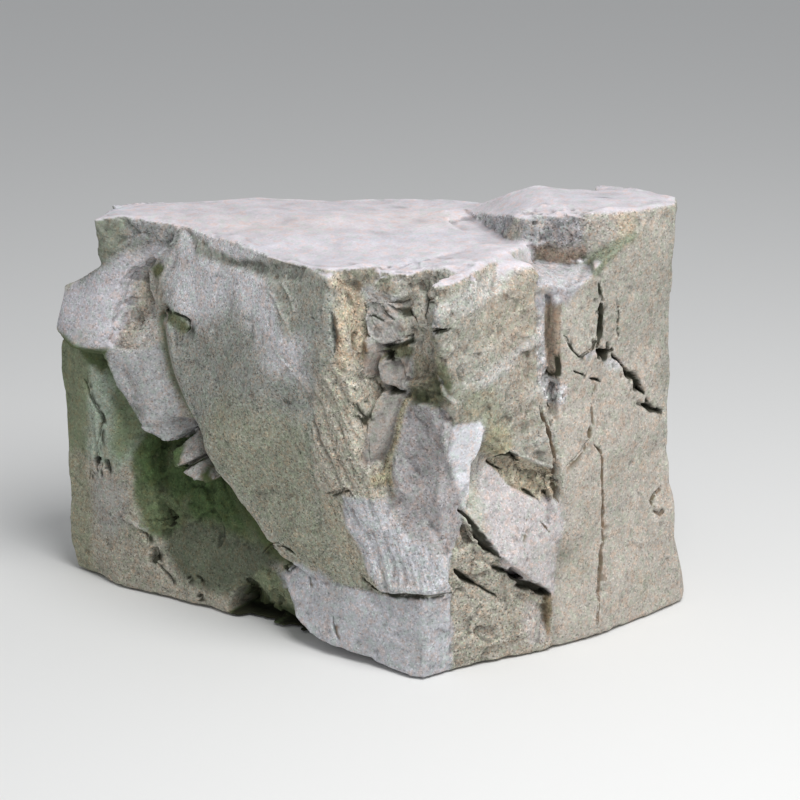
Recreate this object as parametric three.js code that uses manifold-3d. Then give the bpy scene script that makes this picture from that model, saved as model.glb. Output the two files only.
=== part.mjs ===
// A garden boulder: one block of weathered sandstone, 1.1 m long, standing on its flat underside.
// In plan it is a wedge with one corner to the front. The long left face carries a great leaning slab
// over a deep hollow, the right face is split by an upright groove, and the top is a flat table with a
// raised block at its right end.
//
// The stone is put together from convex lumps, the way a mason reads it, and then chiselled: hollows,
// grooves and cracks are cut out of it. A last pass gives the whole skin its uneven surface.
// Millimetres, +Z up, origin on the ground at the middle of the stone's box, front corner towards -Y.
import * as THREE from "three";
import { ConvexGeometry } from "three/addons/geometries/ConvexGeometry.js";
import { ImprovedNoise } from "three/addons/math/ImprovedNoise.js";
import { mergeVertices } from "three/addons/utils/BufferGeometryUtils.js";
import Module from "manifold-3d";

const wasm = await Module();
wasm.setup();

// ---- driving dimensions ----
const TABLE = 690; // height of the flat top
const CREST = 750; // height of the raised block at the right end
const SHOULDER = 550; // height of the shoulder at the left end, where it meets the ground outline
const FRONT_CORNER = [92, -350]; // ends of the two front faces on the ground
const LEFT_END = [-557, 158];
const RIGHT_END = [560, -5];
const BACK = 345; // how far the stone reaches back
const ROOT = -170; // how far behind its face a lump is rooted in the stone

const FINE_EDGE = 53; // longest triangle edge of the skin on the two front faces
const COARSE_EDGE = 87; // and on the back, the top and the underside
const SWELLS = { length: 130, height: 11 }; // the slow waves of the skin
const RIPPLES = { length: 45, height: 7 }; // and the quick ones

// ---- ways to place a point ----
// A face of the stone stands on the line between two points of the ground. A point of it is given by
// its distance along that line, its distance out in front of it and its height.
function face(from, to) {
  const start = new THREE.Vector3(...from, 0);
  const along = new THREE.Vector3(...to, 0).sub(start).normalize();
  const out = new THREE.Vector3(along.y, -along.x, 0);
  return ([a, o, z]) => start.clone().addScaledVector(along, a).addScaledVector(out, o).setZ(z);
}
const left = face(LEFT_END, FRONT_CORNER);
const right = face(FRONT_CORNER, RIGHT_END);
const plan = ([x, y, z]) => new THREE.Vector3(x, y, z);

// ---- ways to make and join solids ----
function solidOf(geometry) {
  geometry.deleteAttribute("normal");
  geometry.deleteAttribute("uv");
  const merged = mergeVertices(geometry, 1e-3);
  return new wasm.Manifold(
    new wasm.Mesh({
      numProp: 3,
      vertProperties: merged.attributes.position.array,
      triVerts: new Uint32Array(merged.index.array),
    }),
  );
}

const hull = (...groups) => solidOf(new ConvexGeometry(groups.flat()));
const join = (...solids) => solids.reduce((whole, solid) => whole.add(solid));

// A lump: its outer points on a face, rooted in the stone behind them.
function lump(on, outer, root = ROOT) {
  const roots = outer.map(([a, , z]) => [a, root, z]);
  return hull([...outer, ...roots].map(on));
}

// A hollow: the points of its floor, opened out towards the front.
function hollow(on, floor, { mouth = 120, widening = 30 } = {}) {
  const centre = [0, 2].map((axis) => floor.reduce((sum, point) => sum + point[axis] / floor.length, 0));
  const rim = floor.map(([a, , z]) => {
    const [da, dz] = [a - centre[0], z - centre[1]];
    const reach = 1 + widening / Math.hypot(da, dz);
    return [centre[0] + da * reach, mouth, centre[1] + dz * reach];
  });
  return hull([...floor, ...rim].map(on));
}

// A crack along a path on a face: a wedge that is widest at the skin.
function crack(on, path, width, depth) {
  const proud = 30;
  const pieces = path.slice(1).map((end, i) => {
    const start = path[i];
    const [da, dz] = [end[0] - start[0], end[2] - start[2]];
    const half = (width / 2) * (1 + proud / depth) / Math.hypot(da, dz);
    const rims = [start, end].flatMap(([a, o, z]) => [
      [a - dz * half, o + proud, z + da * half],
      [a + dz * half, o + proud, z - da * half],
    ]);
    const roots = [start, end].map(([a, o, z]) => [a, o - depth, z]);
    return hull([...rims, ...roots].map(on));
  });
  return join(...pieces);
}

// A scoop: part of a rounded shape sunk in a face. A positive lean tips its top along the face.
function scoop(on, [a, o, z], [halfWidth, halfDepth, halfHeight], lean = 0) {
  const shape = new THREE.IcosahedronGeometry(1, halfHeight > 60 ? 2 : 1);
  const [centre, side, front] = [on([a, o, z]), on([a + 1, o, z]), on([a, o + 1, z])];
  const up = new THREE.Vector3(0, 0, 1);
  const basis = new THREE.Matrix4().makeBasis(side.sub(centre), up, front.sub(centre));
  shape.scale(halfWidth, halfHeight, halfDepth);
  shape.rotateZ(-lean);
  shape.applyMatrix4(basis);
  shape.translate(...centre);
  return solidOf(new THREE.BufferGeometry().setAttribute("position", shape.getAttribute("position")));
}

// ---- the body of the stone ----
function core() {
  const foot = [
    [-480, 150], [-556, 200], [-520, 262], [-320, 312],
    [60, BACK - 30], [370, 290], [510, 185], [470, 60],
  ];
  const waist = [[-512, 256], [-320, 306], [60, BACK - 36], [370, 284], [500, 185]];
  return hull(
    [[35, -85, 0], [770, -85, 0]].map(left),
    [[200, -60, 0]].map(right),
    foot.map(([x, y]) => plan([x, y, 0])),
    waist.map(([x, y]) => plan([x, y, 360])),
    [[60, -125, 540], [760, -100, TABLE - 25]].map(left),
    [[250, -150, TABLE - 10]].map(right),
    [
      [480, 60, 640], [430, 190, 600], [330, 246, 560],
      [60, 266, 590], [-240, 262, 630], [-440, 208, 600],
    ].map(plan),
    [[300, 60], [200, 215], [-230, 215], [-400, 170]].map(([x, y]) => plan([x, y, TABLE - 12])),
  );
}

// The flat top. Its front rim follows the great slab, the alcove and the corner block.
function table() {
  const rim = [
    [-322, 42], [-208, -92], [-118, -205], [-62, -262], [20, -250], [90, -270], [200, -215], [258, -92],
  ];
  const back = [[330, 60], [290, 205], [60, 232], [-200, 238], [-350, 195]];
  const below = 150;
  return hull(
    rim.map(([x, y]) => plan([x, y, TABLE])),
    back.map(([x, y]) => plan([x, y, TABLE + 6])),
    rim.map(([x, y]) => plan([x * 0.92, y + 35, TABLE - below])),
    back.map(([x, y]) => plan([x, y + 25, TABLE - below])),
  );
}

// the step that the table keeps at the back of the left end
function backStep() {
  return hull(
    [[-484, 86], [-440, 70], [-425, 172]].map(([x, y]) => plan([x, y, TABLE + 12])),
    [[-322, 40], [-260, 60], [-260, 225], [-335, 215]].map(([x, y]) => plan([x, y, TABLE])),
    [
      [-474, 112], [-425, 92], [-322, 70], [-260, 90], [-260, 245], [-445, 225],
    ].map(([x, y]) => plan([x, y, 500])),
  );
}

// The back: three broad sheets of stone that lie over each other like leaning slates.
function backSheets() {
  return join(
    hull(
      [
        [-500, 296, 0], [-330, 338, 0], [-120, BACK, 0],
        [-90, BACK - 6, 250], [-180, 330, 430], [-360, 300, 520],
      ].map(plan),
      [[-470, 262, 500], [-530, 250, 300], [-555, 246, 0], [-490, 278, 180]].map(plan),
      [[-480, 200, 0], [-100, 220, 0], [-170, 200, 480], [-440, 190, 520]].map(plan),
    ),
    hull(
      [
        [-60, 338, 60], [180, BACK, 0], [350, 318, 0], [372, 304, 240], [300, 292, 520], [120, 296, 610],
      ].map(plan),
      [[-40, 300, 600], [-90, 318, 400], [-70, 330, 200], [40, 340, 300]].map(plan),
      [[-60, 200, 60], [350, 200, 0], [300, 180, 560], [-40, 180, 620]].map(plan),
    ),
    hull(
      [
        [330, 322, 0], [470, 262, 0], [530, 170, 0], [548, 120, 0], [530, 130, 240], [516, 150, 560],
      ].map(plan),
      [[420, 262, 560], [470, 240, 300], [330, 300, 330], [300, 250, 600], [360, 284, 120]].map(plan),
      [[300, 100, 0], [300, 100, 600], [480, 60, 600], [520, 60, 0]].map(plan),
    ),
  );
}

// The raised block at the right end, over the groove. Its left wall slopes down to the table.
function raisedBlock() {
  return hull(
    [[272, -90], [363, -111]].map(([x, y]) => plan([x, y, CREST - 8])),
    [[422, -60], [489, -64], [519, -40]].map(([x, y]) => plan([x, y, CREST - 2])),
    [
      [243, 78, CREST - 6], [290, 80, CREST + 4], [330, 76, CREST + 5],
      [478, 60, CREST - 8], [524, 40, CREST - 10],
    ].map(plan),
    [[150, 150], [200, 215], [205, -60]].map(([x, y]) => plan([x, y, TABLE])),
    [[264, -84], [365, -100], [487, -60], [515, -38]].map(([x, y]) => plan([x, y, TABLE - 60])),
    [[520, 150], [240, 225], [420, 262]].map(([x, y]) => plan([x, y, TABLE - 130])),
  );
}

// ---- the left face ----
// the great slab that leans across the face: rim, right edge, lower edge, left edge, belly
function greatSlab() {
  return lump(left, [
    [252, -58, TABLE], [330, -40, TABLE], [425, -18, TABLE], [562, 12, TABLE - 2], [660, 36, TABLE - 8],
    [648, 44, 574], [634, 40, 466], [642, 28, 360], [660, 16, 289], [705, 4, 188], [757, -8, 128],
    [612, 0, 113], [522, 4, 142], [477, 8, 197], [420, 10, 249], [340, 6, 315], [285, -4, 365],
    [250, -16, 430], [222, -30, 500], [204, -50, 606],
    [500, 34, 470], [430, 26, 400],
  ], -120);
}

// the pale shoulder at the left end, a slope that ends in a lip
function shoulder() {
  return hull(
    [
      [8, 10, SHOULDER], [50, 5, 576], [97, -2, 608], [163, -22, 646], [193, -31, 660], [252, -54, 672],
    ].map(left),
    [[-8, 22, 470], [22, 32, 466], [62, 42, 456], [112, 30, 462], [122, 4, 505], [160, -10, 585]].map(left),
    [[30, -20, 425], [120, -20, 425], [240, -90, 640]].map(left),
    [[20, -190, 430], [240, -160, 430], [240, -140, 640]].map(left),
  );
}

// the upright foot under the shoulder
function leftFoot() {
  return hull(
    [
      [-10, -8, 440], [62, 4, 440], [118, -22, 440], [128, -30, 330], [142, -18, 195], [190, 6, 110],
    ].map(left),
    [
      [0, 0, 0], [60, 6, 0], [130, 10, 0], [235, -2, 0], [230, -14, 100], [84, 10, 215], [-4, 2, 200],
    ].map(left),
    [[20, -180, 440], [150, -180, 440], [20, -200, 0], [250, -160, 0]].map(left),
    [[-556, 200, 0], [-552, 196, 452], [-520, 250, 470]].map(plan),
  );
}

// the narrow shelf beside the great slab, and the two blocks broken off its lower end
function slabShelf() {
  return join(
    lump(left, [
      [134, -22, 572], [116, 12, 508], [106, 26, 440], [140, 32, 384], [188, 32, 318], [226, 28, 296],
      [260, -24, 325], [224, -50, 396], [192, -58, 475], [176, -64, 560],
    ], -140),
    lump(left, [[244, 18, 284], [278, 18, 258], [308, 2, 288], [262, -26, 322]], -120),
    lump(left, [[292, 12, 254], [312, -2, 280], [372, 6, 264], [350, 12, 250]], -120),
  );
}

// the stone under the hollow, sloping out to the ground
function hollowFoot() {
  return join(
    hull(
      [[205, -4, 0], [300, -5, 0], [400, -14, 0], [470, -20, 0], [600, -40, 0]].map(left),
      [[196, -18, 108], [262, -34, 150], [345, -48, 132], [440, -44, 168], [520, -26, 120]].map(left),
      [[190, -180, 0], [600, -180, 0], [200, -180, 160], [560, -180, 220]].map(left),
    ),
    // the hollow's floor, rising to the back of the great slab
    hull(
      [
        [150, -30, 190], [262, -40, 140], [440, -48, 160],
        [500, -30, 150], [470, -52, 200], [180, -74, 330],
      ].map(left),
      [[130, -160, 190], [520, -180, 150], [170, -180, 360], [400, -180, 300]].map(left),
    ),
  );
}

// the toe: the pale block under the great slab, from the hollow to the front corner
function toe() {
  return hull(
    [
      [505, -8, 122], [530, 10, 78], [556, 16, 42], [606, 16, 14],
      [712, 14, 12], [742, 2, 132], [612, 0, 120],
    ].map(left),
    [[66, -344, 0], [92, -352, 0], [130, -330, 0], [132, -334, 168], [104, -344, 164]].map(plan),
    [[560, -150, 10], [530, -150, 120], [800, -150, 0], [780, -150, 160]].map(left),
  );
}

// the ribbed slope between the great slab and the toe
function ribbedSlope() {
  return hull(
    [[640, 10, 290], [741, -34, 300], [716, 12, 138], [770, 14, 146], [655, 8, 205]].map(left),
    [[120, -330, 226], [134, -347, 172], [112, -354, 156]].map(plan),
    [[650, -140, 290], [760, -140, 300], [700, -140, 130]].map(left),
    [[100, -200, 150], [120, -220, 230]].map(plan),
  );
}

// ---- the front corner ----
// the stone behind the alcove and the smooth scoop
function cornerHeart() {
  return hull(
    [[690, -62, TABLE - 4], [690, -40, 480], [700, -30, 300], [770, -30, 260]].map(left),
    [
      [20, -38, TABLE - 4], [20, -26, 480], [60, -20, 400], [76, -10, 300], [84, -2, 258], [54, -8, 225],
    ].map(right),
    [[-20, -100, TABLE - 10], [120, -100, TABLE - 10], [-20, -140, 200], [140, -140, 200]].map(plan),
  );
}

// The corner block: its face leans back towards the groove, and its foot is broken off.
function cornerBlock() {
  return hull(
    [[16, -2, TABLE - 12], [52, -4, TABLE - 6], [155, -44, TABLE + 2], [296, -112, TABLE + 4]].map(right),
    [
      [14, 0, 610], [50, 2, 479], [58, -4, 432], [110, -20, 420], [150, -30, 352], [197, -26, 358],
    ].map(right),
    [[266, -6, 318], [280, 2, 300], [268, -2, 390], [262, -22, 500], [270, -60, 610]].map(right),
    [[30, -100, TABLE - 6], [60, -140, 400], [250, -170, TABLE - 10], [240, -120, 340]].map(right),
  );
}

// the white facet and the brown scar under the foot of the corner block
function brokenFoot() {
  return join(
    lump(right, [[40, -8, 440], [140, -26, 430], [118, -16, 336], [72, -4, 320], [36, -6, 390]], -140),
    lump(right, [
      [110, -28, 390], [230, -40, 400], [280, -12, 330],
      [276, -8, 262], [190, -28, 290], [104, -16, 320],
    ], -140),
  );
}

// ---- the right face ----
// the pale slab low on the right face, that juts out over the stone under it
function juttingSlab() {
  return hull(
    [
      [128, -42, 344], [174, -38, 338], [226, -16, 296], [276, 2, 268], [282, 14, 231], [252, 34, 106],
    ].map(right),
    [
      [216, 38, 124], [178, 36, 150], [138, 32, 190], [98, 22, 238], [76, 8, 278], [100, -14, 306],
    ].map(right),
    [[131, -150, 341], [270, -150, 300], [256, -120, 120], [178, -120, 150], [98, -120, 238]].map(right),
  );
}

// the brownish block under the jutting slab, down to the ground
function lowerRightBlock() {
  return hull(
    [[44, -2, 160], [50, 0, 0], [110, 12, 0], [180, 20, 0], [252, 20, 0], [254, 2, 112]].map(right),
    [[182, -4, 156], [130, 2, 208], [80, -6, 262], [52, -8, 232]].map(right),
    [[60, -120, 0], [260, -120, 0], [260, -120, 200], [90, -110, 260]].map(right),
  );
}

// the stone at the back of the upright groove
function grooveBed() {
  return lump(right, [
    [226, -40, 640], [300, -40, 630], [226, -22, 500], [290, -22, 500], [250, -10, 400], [280, -6, 400],
  ], -140);
}

// the block right of the groove, from the ground up to the raised top
function rightBlock() {
  return join(
    hull(
      [
        [344, 9, 657], [310, 10, 648], [284, 7, 605], [269, 6, 482], [262, 4, 377], [270, 8, 280],
      ].map(right),
      [[252, 24, 106], [248, 22, 0], [340, 26, 0], [420, 22, 0], [573, 0, 0], [578, 0, 82]].map(right),
      [
        [541, -2, 250], [530, -4, 394], [526, -6, 600], [531, -6, 716], [443, 4, 714], [372, -32, 662],
      ].map(right),
      [[520, 150, 560], [545, 190, 0], [566, 60, 0]].map(plan),
      [[300, -60, 640], [290, -60, 0]].map(right),
    ),
    // its top, behind a bevel that runs up from the groove
    hull(
      [
        [443, 3, 712], [467, 2, 744], [492, 0, CREST],
        [530, -6, CREST - 4], [532, -6, 640], [430, 0, 640],
      ].map(right),
      [[360, -32, CREST - 6], [372, -32, 660], [405, -38, CREST]].map(right),
      [[400, 100, CREST], [520, 12, CREST], [520, 60, 600], [330, 0, 600]].map(plan),
    ),
  );
}

// ---- hollows, grooves and cracks ----
// The bowl between the shoulder, the narrow shelf and the top of the great slab.
function bowl() {
  return join(
    scoop(left, [192, 26, 576], [66, 72, 96], 0.5),
    scoop(left, [158, 24, 528], [40, 46, 44]),
    scoop(left, [226, -22, 528], [14, 26, 18]),
  );
}

// The alcove: three broken steps between the great slab and the corner block.
function alcove() {
  const above = TABLE + 60;
  const upperStep = [
    [690, -86, above], [806, -104, above], [690, -82, 650], [812, -96, 640],
    [700, -52, 592], [722, -46, 574], [744, -48, 578], [790, -72, 604], [806, -66, 590],
  ];
  const holeUnderLip = [[696, -86, 560], [728, -86, 562], [700, -64, 538], [726, -62, 540]];
  const lowerHole = [[698, -84, 500], [724, -82, 500], [704, -60, 478], [724, -58, 484]];
  const brownFacet = [[742, -72, 592], [800, -70, 600], [748, -52, 500], [826, -46, 520]];
  const darkBand = [[742, -80, 486], [814, -76, 500], [752, -64, 468], [806, -58, 474], [836, -52, 524]];
  const small = { widening: 5, mouth: 60 };
  return join(
    hollow(left, upperStep, { widening: 8 }),
    ...[holeUnderLip, lowerHole, brownFacet, darkBand].map((floor) => hollow(left, floor, small)),
    scoop(left, [800, -4, 352], [70, 44, 140], -0.18),
  );
}

// the notch over the groove, down to its little shelf
function notch() {
  const [sill, above] = [640, CREST + 60];
  return hull(
    [[272, -93, sill + 20], [369, -112, sill + 22], [262, -100, sill + 40]].map(plan),
    [[283, -172, sill - 6], [318, -160, sill - 4], [374, -158, sill + 12]].map(plan),
    [
      [272, -93, above], [362, -112, above], [222, -150, above], [300, -320, above], [400, -200, above],
    ].map(plan),
    [[300, -320, sill - 20]].map(plan),
  );
}

// the narrow upright groove between the corner block and the right block
function uprightGroove() {
  return hull(
    [
      [256, -62, 648], [286, -60, 640], [262, -46, 560], [276, -44, 560], [266, -28, 460], [272, -6, 392],
    ].map(right),
    [
      [246, 60, 650], [290, 60, 648], [256, 60, 560], [282, 60, 560], [264, 60, 392], [276, 60, 392],
    ].map(right),
  );
}

// the lower end of the groove, the crack that runs down the right block in steps, the long seam under it,
// the crack and the small hole in the left foot, and the line over the toe
function cracks() {
  const groovePath = [[232, -10, 447], [242, -6, 410], [252, 0, 373], [264, 2, 320], [271, 6, 270]];
  const zigzag = [
    [350, 12, 640], [360, 10, 592], [342, 12, 540], [366, 10, 512], [390, 8, 508], [424, 4, 466],
    [451, 4, 435],
    [472, 2, 405], [515, 0, 380],
  ];
  const seam = [[354, 16, 460], [360, 20, 288], [365, 22, 197], [358, 24, 106], [357, 24, 40]];
  const zigzagPit = [[366, -8, 516], [396, -10, 510], [372, -8, 502]];
  const footCrack = [[60, 10, 400], [66, 8, 330], [78, 8, 236]];
  const footHole = [[70, -22, 236], [94, -22, 236], [80, -18, 205]];
  const toeLine = [[500, 2, 150], [545, 4, 128], [610, 4, 118], [720, 6, 134]];
  return join(
    crack(right, groovePath, 10, 34),
    crack(right, zigzag, 8, 26),
    hollow(right, zigzagPit, { widening: 10, mouth: 40 }),
    crack(right, seam, 5, 12),
    crack(left, footCrack, 8, 26),
    hollow(left, footHole, { widening: 8 }),
    crack(left, toeLine, 9, 18),
  );
}

// the gaps under the great slab, under the toe and under the jutting slab, and a scar below it
function footGaps() {
  const underSlab = [
    [382, -62, 4], [420, -66, 66], [446, -58, 30], [500, -56, 26], [540, -50, 30], [556, -46, 4],
  ];
  const underToe = [
    [540, -50, -8], [540, -50, 14], [716, -46, 8], [716, -46, -8],
    [530, 60, 22], [740, 60, 14], [530, 60, -8], [740, 60, -8],
  ];
  const underJut = [
    [140, -30, 192], [250, -26, 108], [150, -16, 160], [252, -10, 88],
    [140, 60, 182], [262, 60, 96], [150, 30, 160], [262, 40, 84],
  ];
  return join(
    hollow(left, underSlab, { widening: 14 }),
    hull(underToe.map(left)),
    hull(underJut.map(right)),
    crack(right, [[84, 6, 262], [104, 10, 228], [132, 18, 196]], 14, 44),
    crack(right, [[58, 4, 150], [92, 10, 118], [128, 14, 108]], 10, 22),
  );
}

// The stone's foot is sawn level with the ground.
function ground() {
  const [reach, depth] = [900, 200];
  const corners = [[-reach, -reach], [reach, -reach], [reach, reach], [-reach, reach]];
  return hull(...[0, -depth].map((z) => corners.map(([x, y]) => plan([x, y, z]))));
}

function carved() {
  const mass = join(
    core(), table(), backStep(), backSheets(), raisedBlock(), grooveBed(),
    greatSlab(), shoulder(), leftFoot(), slabShelf(), hollowFoot(), toe(), ribbedSlope(),
    cornerHeart(), cornerBlock(), brokenFoot(), juttingSlab(), lowerRightBlock(), rightBlock(),
  );
  return mass.subtract(join(bowl(), alcove(), notch(), uprightGroove(), cracks(), footGaps(), ground()));
}

// ---- the skin ----
const edgeKey = (i, j) => (i < j ? `${i},${j}` : `${j},${i}`);

// Turns the shared edge of two triangles that lie in one plane where that makes both of them rounder.
function evened(points, triangles) {
  const faces = triangles.map((t) => [...t]);
  const triangleOf = (t) => new THREE.Triangle(...t.map((i) => points[i]));
  const normals = faces.map((t) => triangleOf(t).getNormal(new THREE.Vector3()));
  const owners = new Map();
  faces.forEach((t, f) => {
    t.forEach((i, k) => {
      const key = edgeKey(i, t[(k + 1) % 3]);
      owners.set(key, [...(owners.get(key) ?? []), f]);
    });
  });
  const corner = (at, p, q) => points[p].clone().sub(points[at]).angleTo(points[q].clone().sub(points[at]));
  const turned = new Set();
  for (const [key, [f, g]] of owners) {
    if (turned.has(f) || turned.has(g) || normals[f].dot(normals[g]) < 1 - 1e-6) continue;
    const [i, j] = key.split(",").map(Number);
    const ahead = faces[f].some((v, k) => v === i && faces[f][(k + 1) % 3] === j);
    const [here, there] = ahead ? [f, g] : [g, f];
    const apex = faces[here].find((v) => v !== i && v !== j);
    const opposite = faces[there].find((v) => v !== i && v !== j);
    const turn = corner(apex, i, j) + corner(opposite, i, j) > Math.PI + 1e-3;
    const roomy = corner(i, apex, j) + corner(i, j, opposite) < Math.PI - 1e-3
      && corner(j, apex, i) + corner(j, i, opposite) < Math.PI - 1e-3;
    if (!turn || !roomy || owners.has(edgeKey(apex, opposite))) continue;
    faces[here] = [apex, i, opposite];
    faces[there] = [opposite, j, apex];
    turned.add(f).add(g);
  }
  return turned.size ? evened(points, faces) : faces;
}

// Halves every edge that is too long. Inside the flat underside they may be long.
function halved(points, triangles, longest) {
  const middles = new Map();
  const sides = triangles.filter((t) => t.some((i) => points[i].z > 0));
  for (const [i, j] of sides.flatMap(([a, b, c]) => [[a, b], [b, c], [c, a]])) {
    const centre = points[i].clone().add(points[j]).multiplyScalar(0.5);
    if (middles.has(edgeKey(i, j)) || points[i].distanceTo(points[j]) < longest(centre)) continue;
    middles.set(edgeKey(i, j), points.push(centre) - 1);
  }
  return triangles.flatMap(([a, b, c]) => {
    const [ab, bc, ca] = [[a, b], [b, c], [c, a]].map(([i, j]) => middles.get(edgeKey(i, j)));
    const cuts = [ab, bc, ca].filter((m) => m !== undefined).length;
    if (cuts === 3) return [[a, ab, ca], [ab, b, bc], [ca, bc, c], [ab, bc, ca]];
    if (cuts === 0) return [[a, b, c]];
    // the triangle turned so that the odd edge, the only one that is cut or isn't, comes last
    const turns = [[a, b, c, ab, bc, ca], [b, c, a, bc, ca, ab], [c, a, b, ca, ab, bc]];
    const [p, q, r, pq, qr, rp] = turns.find((t) => (t[5] === undefined) === (cuts === 2));
    return cuts === 1 ? [[p, q, rp], [q, r, rp]] : [[pq, q, qr], [p, pq, qr], [p, qr, r]];
  });
}

// Moves a point by noise that belongs to its place, so that neighbours move together.
const noise = new ImprovedNoise();
function weathered(point) {
  const shift = [SWELLS, RIPPLES].reduce((sum, { length, height }, layer) => {
    const [x, y, z] = point.clone().divideScalar(length).addScalar(17 * (layer + 1));
    const wave = [noise.noise(x, y, z), noise.noise(y + 31, z, x), noise.noise(z + 57, x, y)];
    return sum.addScaledVector(new THREE.Vector3(...wave), height);
  }, new THREE.Vector3());
  const grounded = Math.min(point.z / 60, 1);
  return point.clone().add(shift.setZ(shift.z * grounded));
}

function skin(solid) {
  const { vertProperties, triVerts } = solid.getMesh();
  const [points, triangles] = [vertProperties, triVerts].map((numbers) =>
    Array.from({ length: numbers.length / 3 }, (_, i) => [...numbers.slice(i * 3, i * 3 + 3)]),
  );
  const corners = points.map((p) => new THREE.Vector3(...p));
  const longest = (p) => (p.y < 40 && p.z < TABLE - 8 ? FINE_EDGE : COARSE_EDGE);
  let [coarse, fine] = [[], evened(corners, triangles)];
  while (fine.length > coarse.length) {
    [coarse, fine] = [fine, evened(corners, halved(corners, fine, longest))];
  }
  const finished = corners.map(weathered);
  const middle = new THREE.Box3().setFromPoints(finished).getCenter(new THREE.Vector3()).setZ(0);
  const positions = finished.flatMap((point) => [...point.sub(middle)]);
  return new THREE.BufferGeometry()
    .setAttribute("position", new THREE.Float32BufferAttribute(positions, 3))
    .setIndex(fine.flat());
}

const boulder = new THREE.Mesh(
  skin(carved()),
  new THREE.MeshStandardMaterial({ color: 0xb4aca0, roughness: 0.95, metalness: 0 }),
);
boulder.name = "boulder";

const stone = new THREE.Group();
stone.add(boulder);
export default stone;
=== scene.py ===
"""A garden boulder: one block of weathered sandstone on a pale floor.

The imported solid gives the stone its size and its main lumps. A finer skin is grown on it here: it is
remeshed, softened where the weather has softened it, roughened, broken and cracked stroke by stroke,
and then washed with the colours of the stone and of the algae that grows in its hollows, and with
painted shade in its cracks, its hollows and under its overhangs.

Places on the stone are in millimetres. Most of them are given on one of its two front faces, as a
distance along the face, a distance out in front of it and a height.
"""

import math
from itertools import product

import bpy
import numpy as np
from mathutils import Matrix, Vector


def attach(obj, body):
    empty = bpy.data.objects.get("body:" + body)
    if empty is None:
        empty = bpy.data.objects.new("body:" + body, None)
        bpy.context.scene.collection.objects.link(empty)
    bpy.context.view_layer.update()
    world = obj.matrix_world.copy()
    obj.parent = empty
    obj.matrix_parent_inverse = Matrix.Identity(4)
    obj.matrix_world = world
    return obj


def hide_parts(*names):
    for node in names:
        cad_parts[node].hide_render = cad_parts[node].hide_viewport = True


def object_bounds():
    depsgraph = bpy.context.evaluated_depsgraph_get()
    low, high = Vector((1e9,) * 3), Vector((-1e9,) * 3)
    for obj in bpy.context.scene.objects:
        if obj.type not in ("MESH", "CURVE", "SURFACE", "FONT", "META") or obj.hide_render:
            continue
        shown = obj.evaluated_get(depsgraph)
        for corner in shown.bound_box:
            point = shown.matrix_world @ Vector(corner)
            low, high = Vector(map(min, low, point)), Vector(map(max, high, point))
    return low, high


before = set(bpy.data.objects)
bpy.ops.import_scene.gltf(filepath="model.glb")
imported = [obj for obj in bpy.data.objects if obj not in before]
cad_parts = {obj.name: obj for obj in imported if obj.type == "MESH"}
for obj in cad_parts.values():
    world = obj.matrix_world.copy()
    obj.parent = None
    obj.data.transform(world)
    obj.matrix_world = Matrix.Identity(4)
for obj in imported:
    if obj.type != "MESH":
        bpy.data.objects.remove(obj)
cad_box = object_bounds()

MM = 0.001

# ---- driving dimensions in mm, from the frame ----
LOW, HIGH = (np.array(corner) / MM for corner in cad_box)
TABLE = HIGH[2] - 67  # the flat top, below the raised block
FRONT_CORNER = LOW + (670, 1, 0)
LEFT_END = LOW + (20, 509, 0)
RIGHT_END = LOW + (1137, 346, 0)

SKIN_CELL = 3.4  # how fine the skin is
MOST_TRIANGLES = 188_000
MERGED_WITHIN = 0.01  # corners of the solid's triangles this near each other are one corner
LEVEL_BELOW = 2.5  # points lower than this lie in the level underside

ROOT = -150  # how far out from a face its lumps are rooted, which is inside the stone
SHALLOW_ROOT = -60
WAIST = 23  # how much slimmer the right end is at its waist
SHOULDER_IN = 12  # how far the shoulder is drawn in from the left end, and the foot below it
FOOT_IN = 11
SHELF_MOVED = 24  # how far the shelf and the bowl lie to the right of where the solid has them
BOWL_DEEPER = 9
SMALL_BLOCKS_IN = 12
RIM_WORN = 8
GROOVE_DEPTH = 6  # of the groove in the alcove's wall
SCAR_DEPTH = 6
BAND_HEIGHT = 3.5  # of the bands across the corner block
CHIP_DEPTH = 2.6
NOTCH_CENTRE = (250, -20)
NOTCH_RADIUS = (100, 140)  # where its floor begins to end, and where it has ended

# ---- the view and the light, in metres ----
VIEW_TARGET = Vector((0.0515, -0.0478, 0.40))
VIEW_TILT = math.radians(18)
VIEW_DISTANCE = 4.3
LENS_MM, SENSOR_MM = 110.57, 36
LAMP_PLACE, LAMP_TARGET = (1.2, -1.8, 3.6), (0, 0, 0.3)
LAMP_SIZE, LAMP_WATTS = 2.6, 140
SKY_COLOUR, SKY_STRENGTH = (0.95, 0.97, 1.0, 1), 0.40
FLOOR_SIZE = 60
FLOOR_COLOUR, FLOOR_ROUGHNESS = (0.80, 0.80, 0.79, 1), 0.9


class Face:
    """A front face of the stone, with its own measures: along it, out in front of it, and up."""

    def __init__(self, start, end):
        self.start = start
        self.along = (end - start) / np.linalg.norm(end - start)
        self.out = np.array((self.along[1], -self.along[0], 0.0))

    def measures(self, points):
        """(along, out, up) of each point, in mm."""
        offset = points - self.start
        return np.stack([offset @ self.along, offset @ self.out, points[:, 2]], axis=1)

    def place(self, along, out, up):
        """The point at these measures, in mm."""
        return self.start + along * self.along + out * self.out + (0, 0, up)


left = Face(LEFT_END, FRONT_CORNER)
right = Face(FRONT_CORNER, RIGHT_END)


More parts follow.
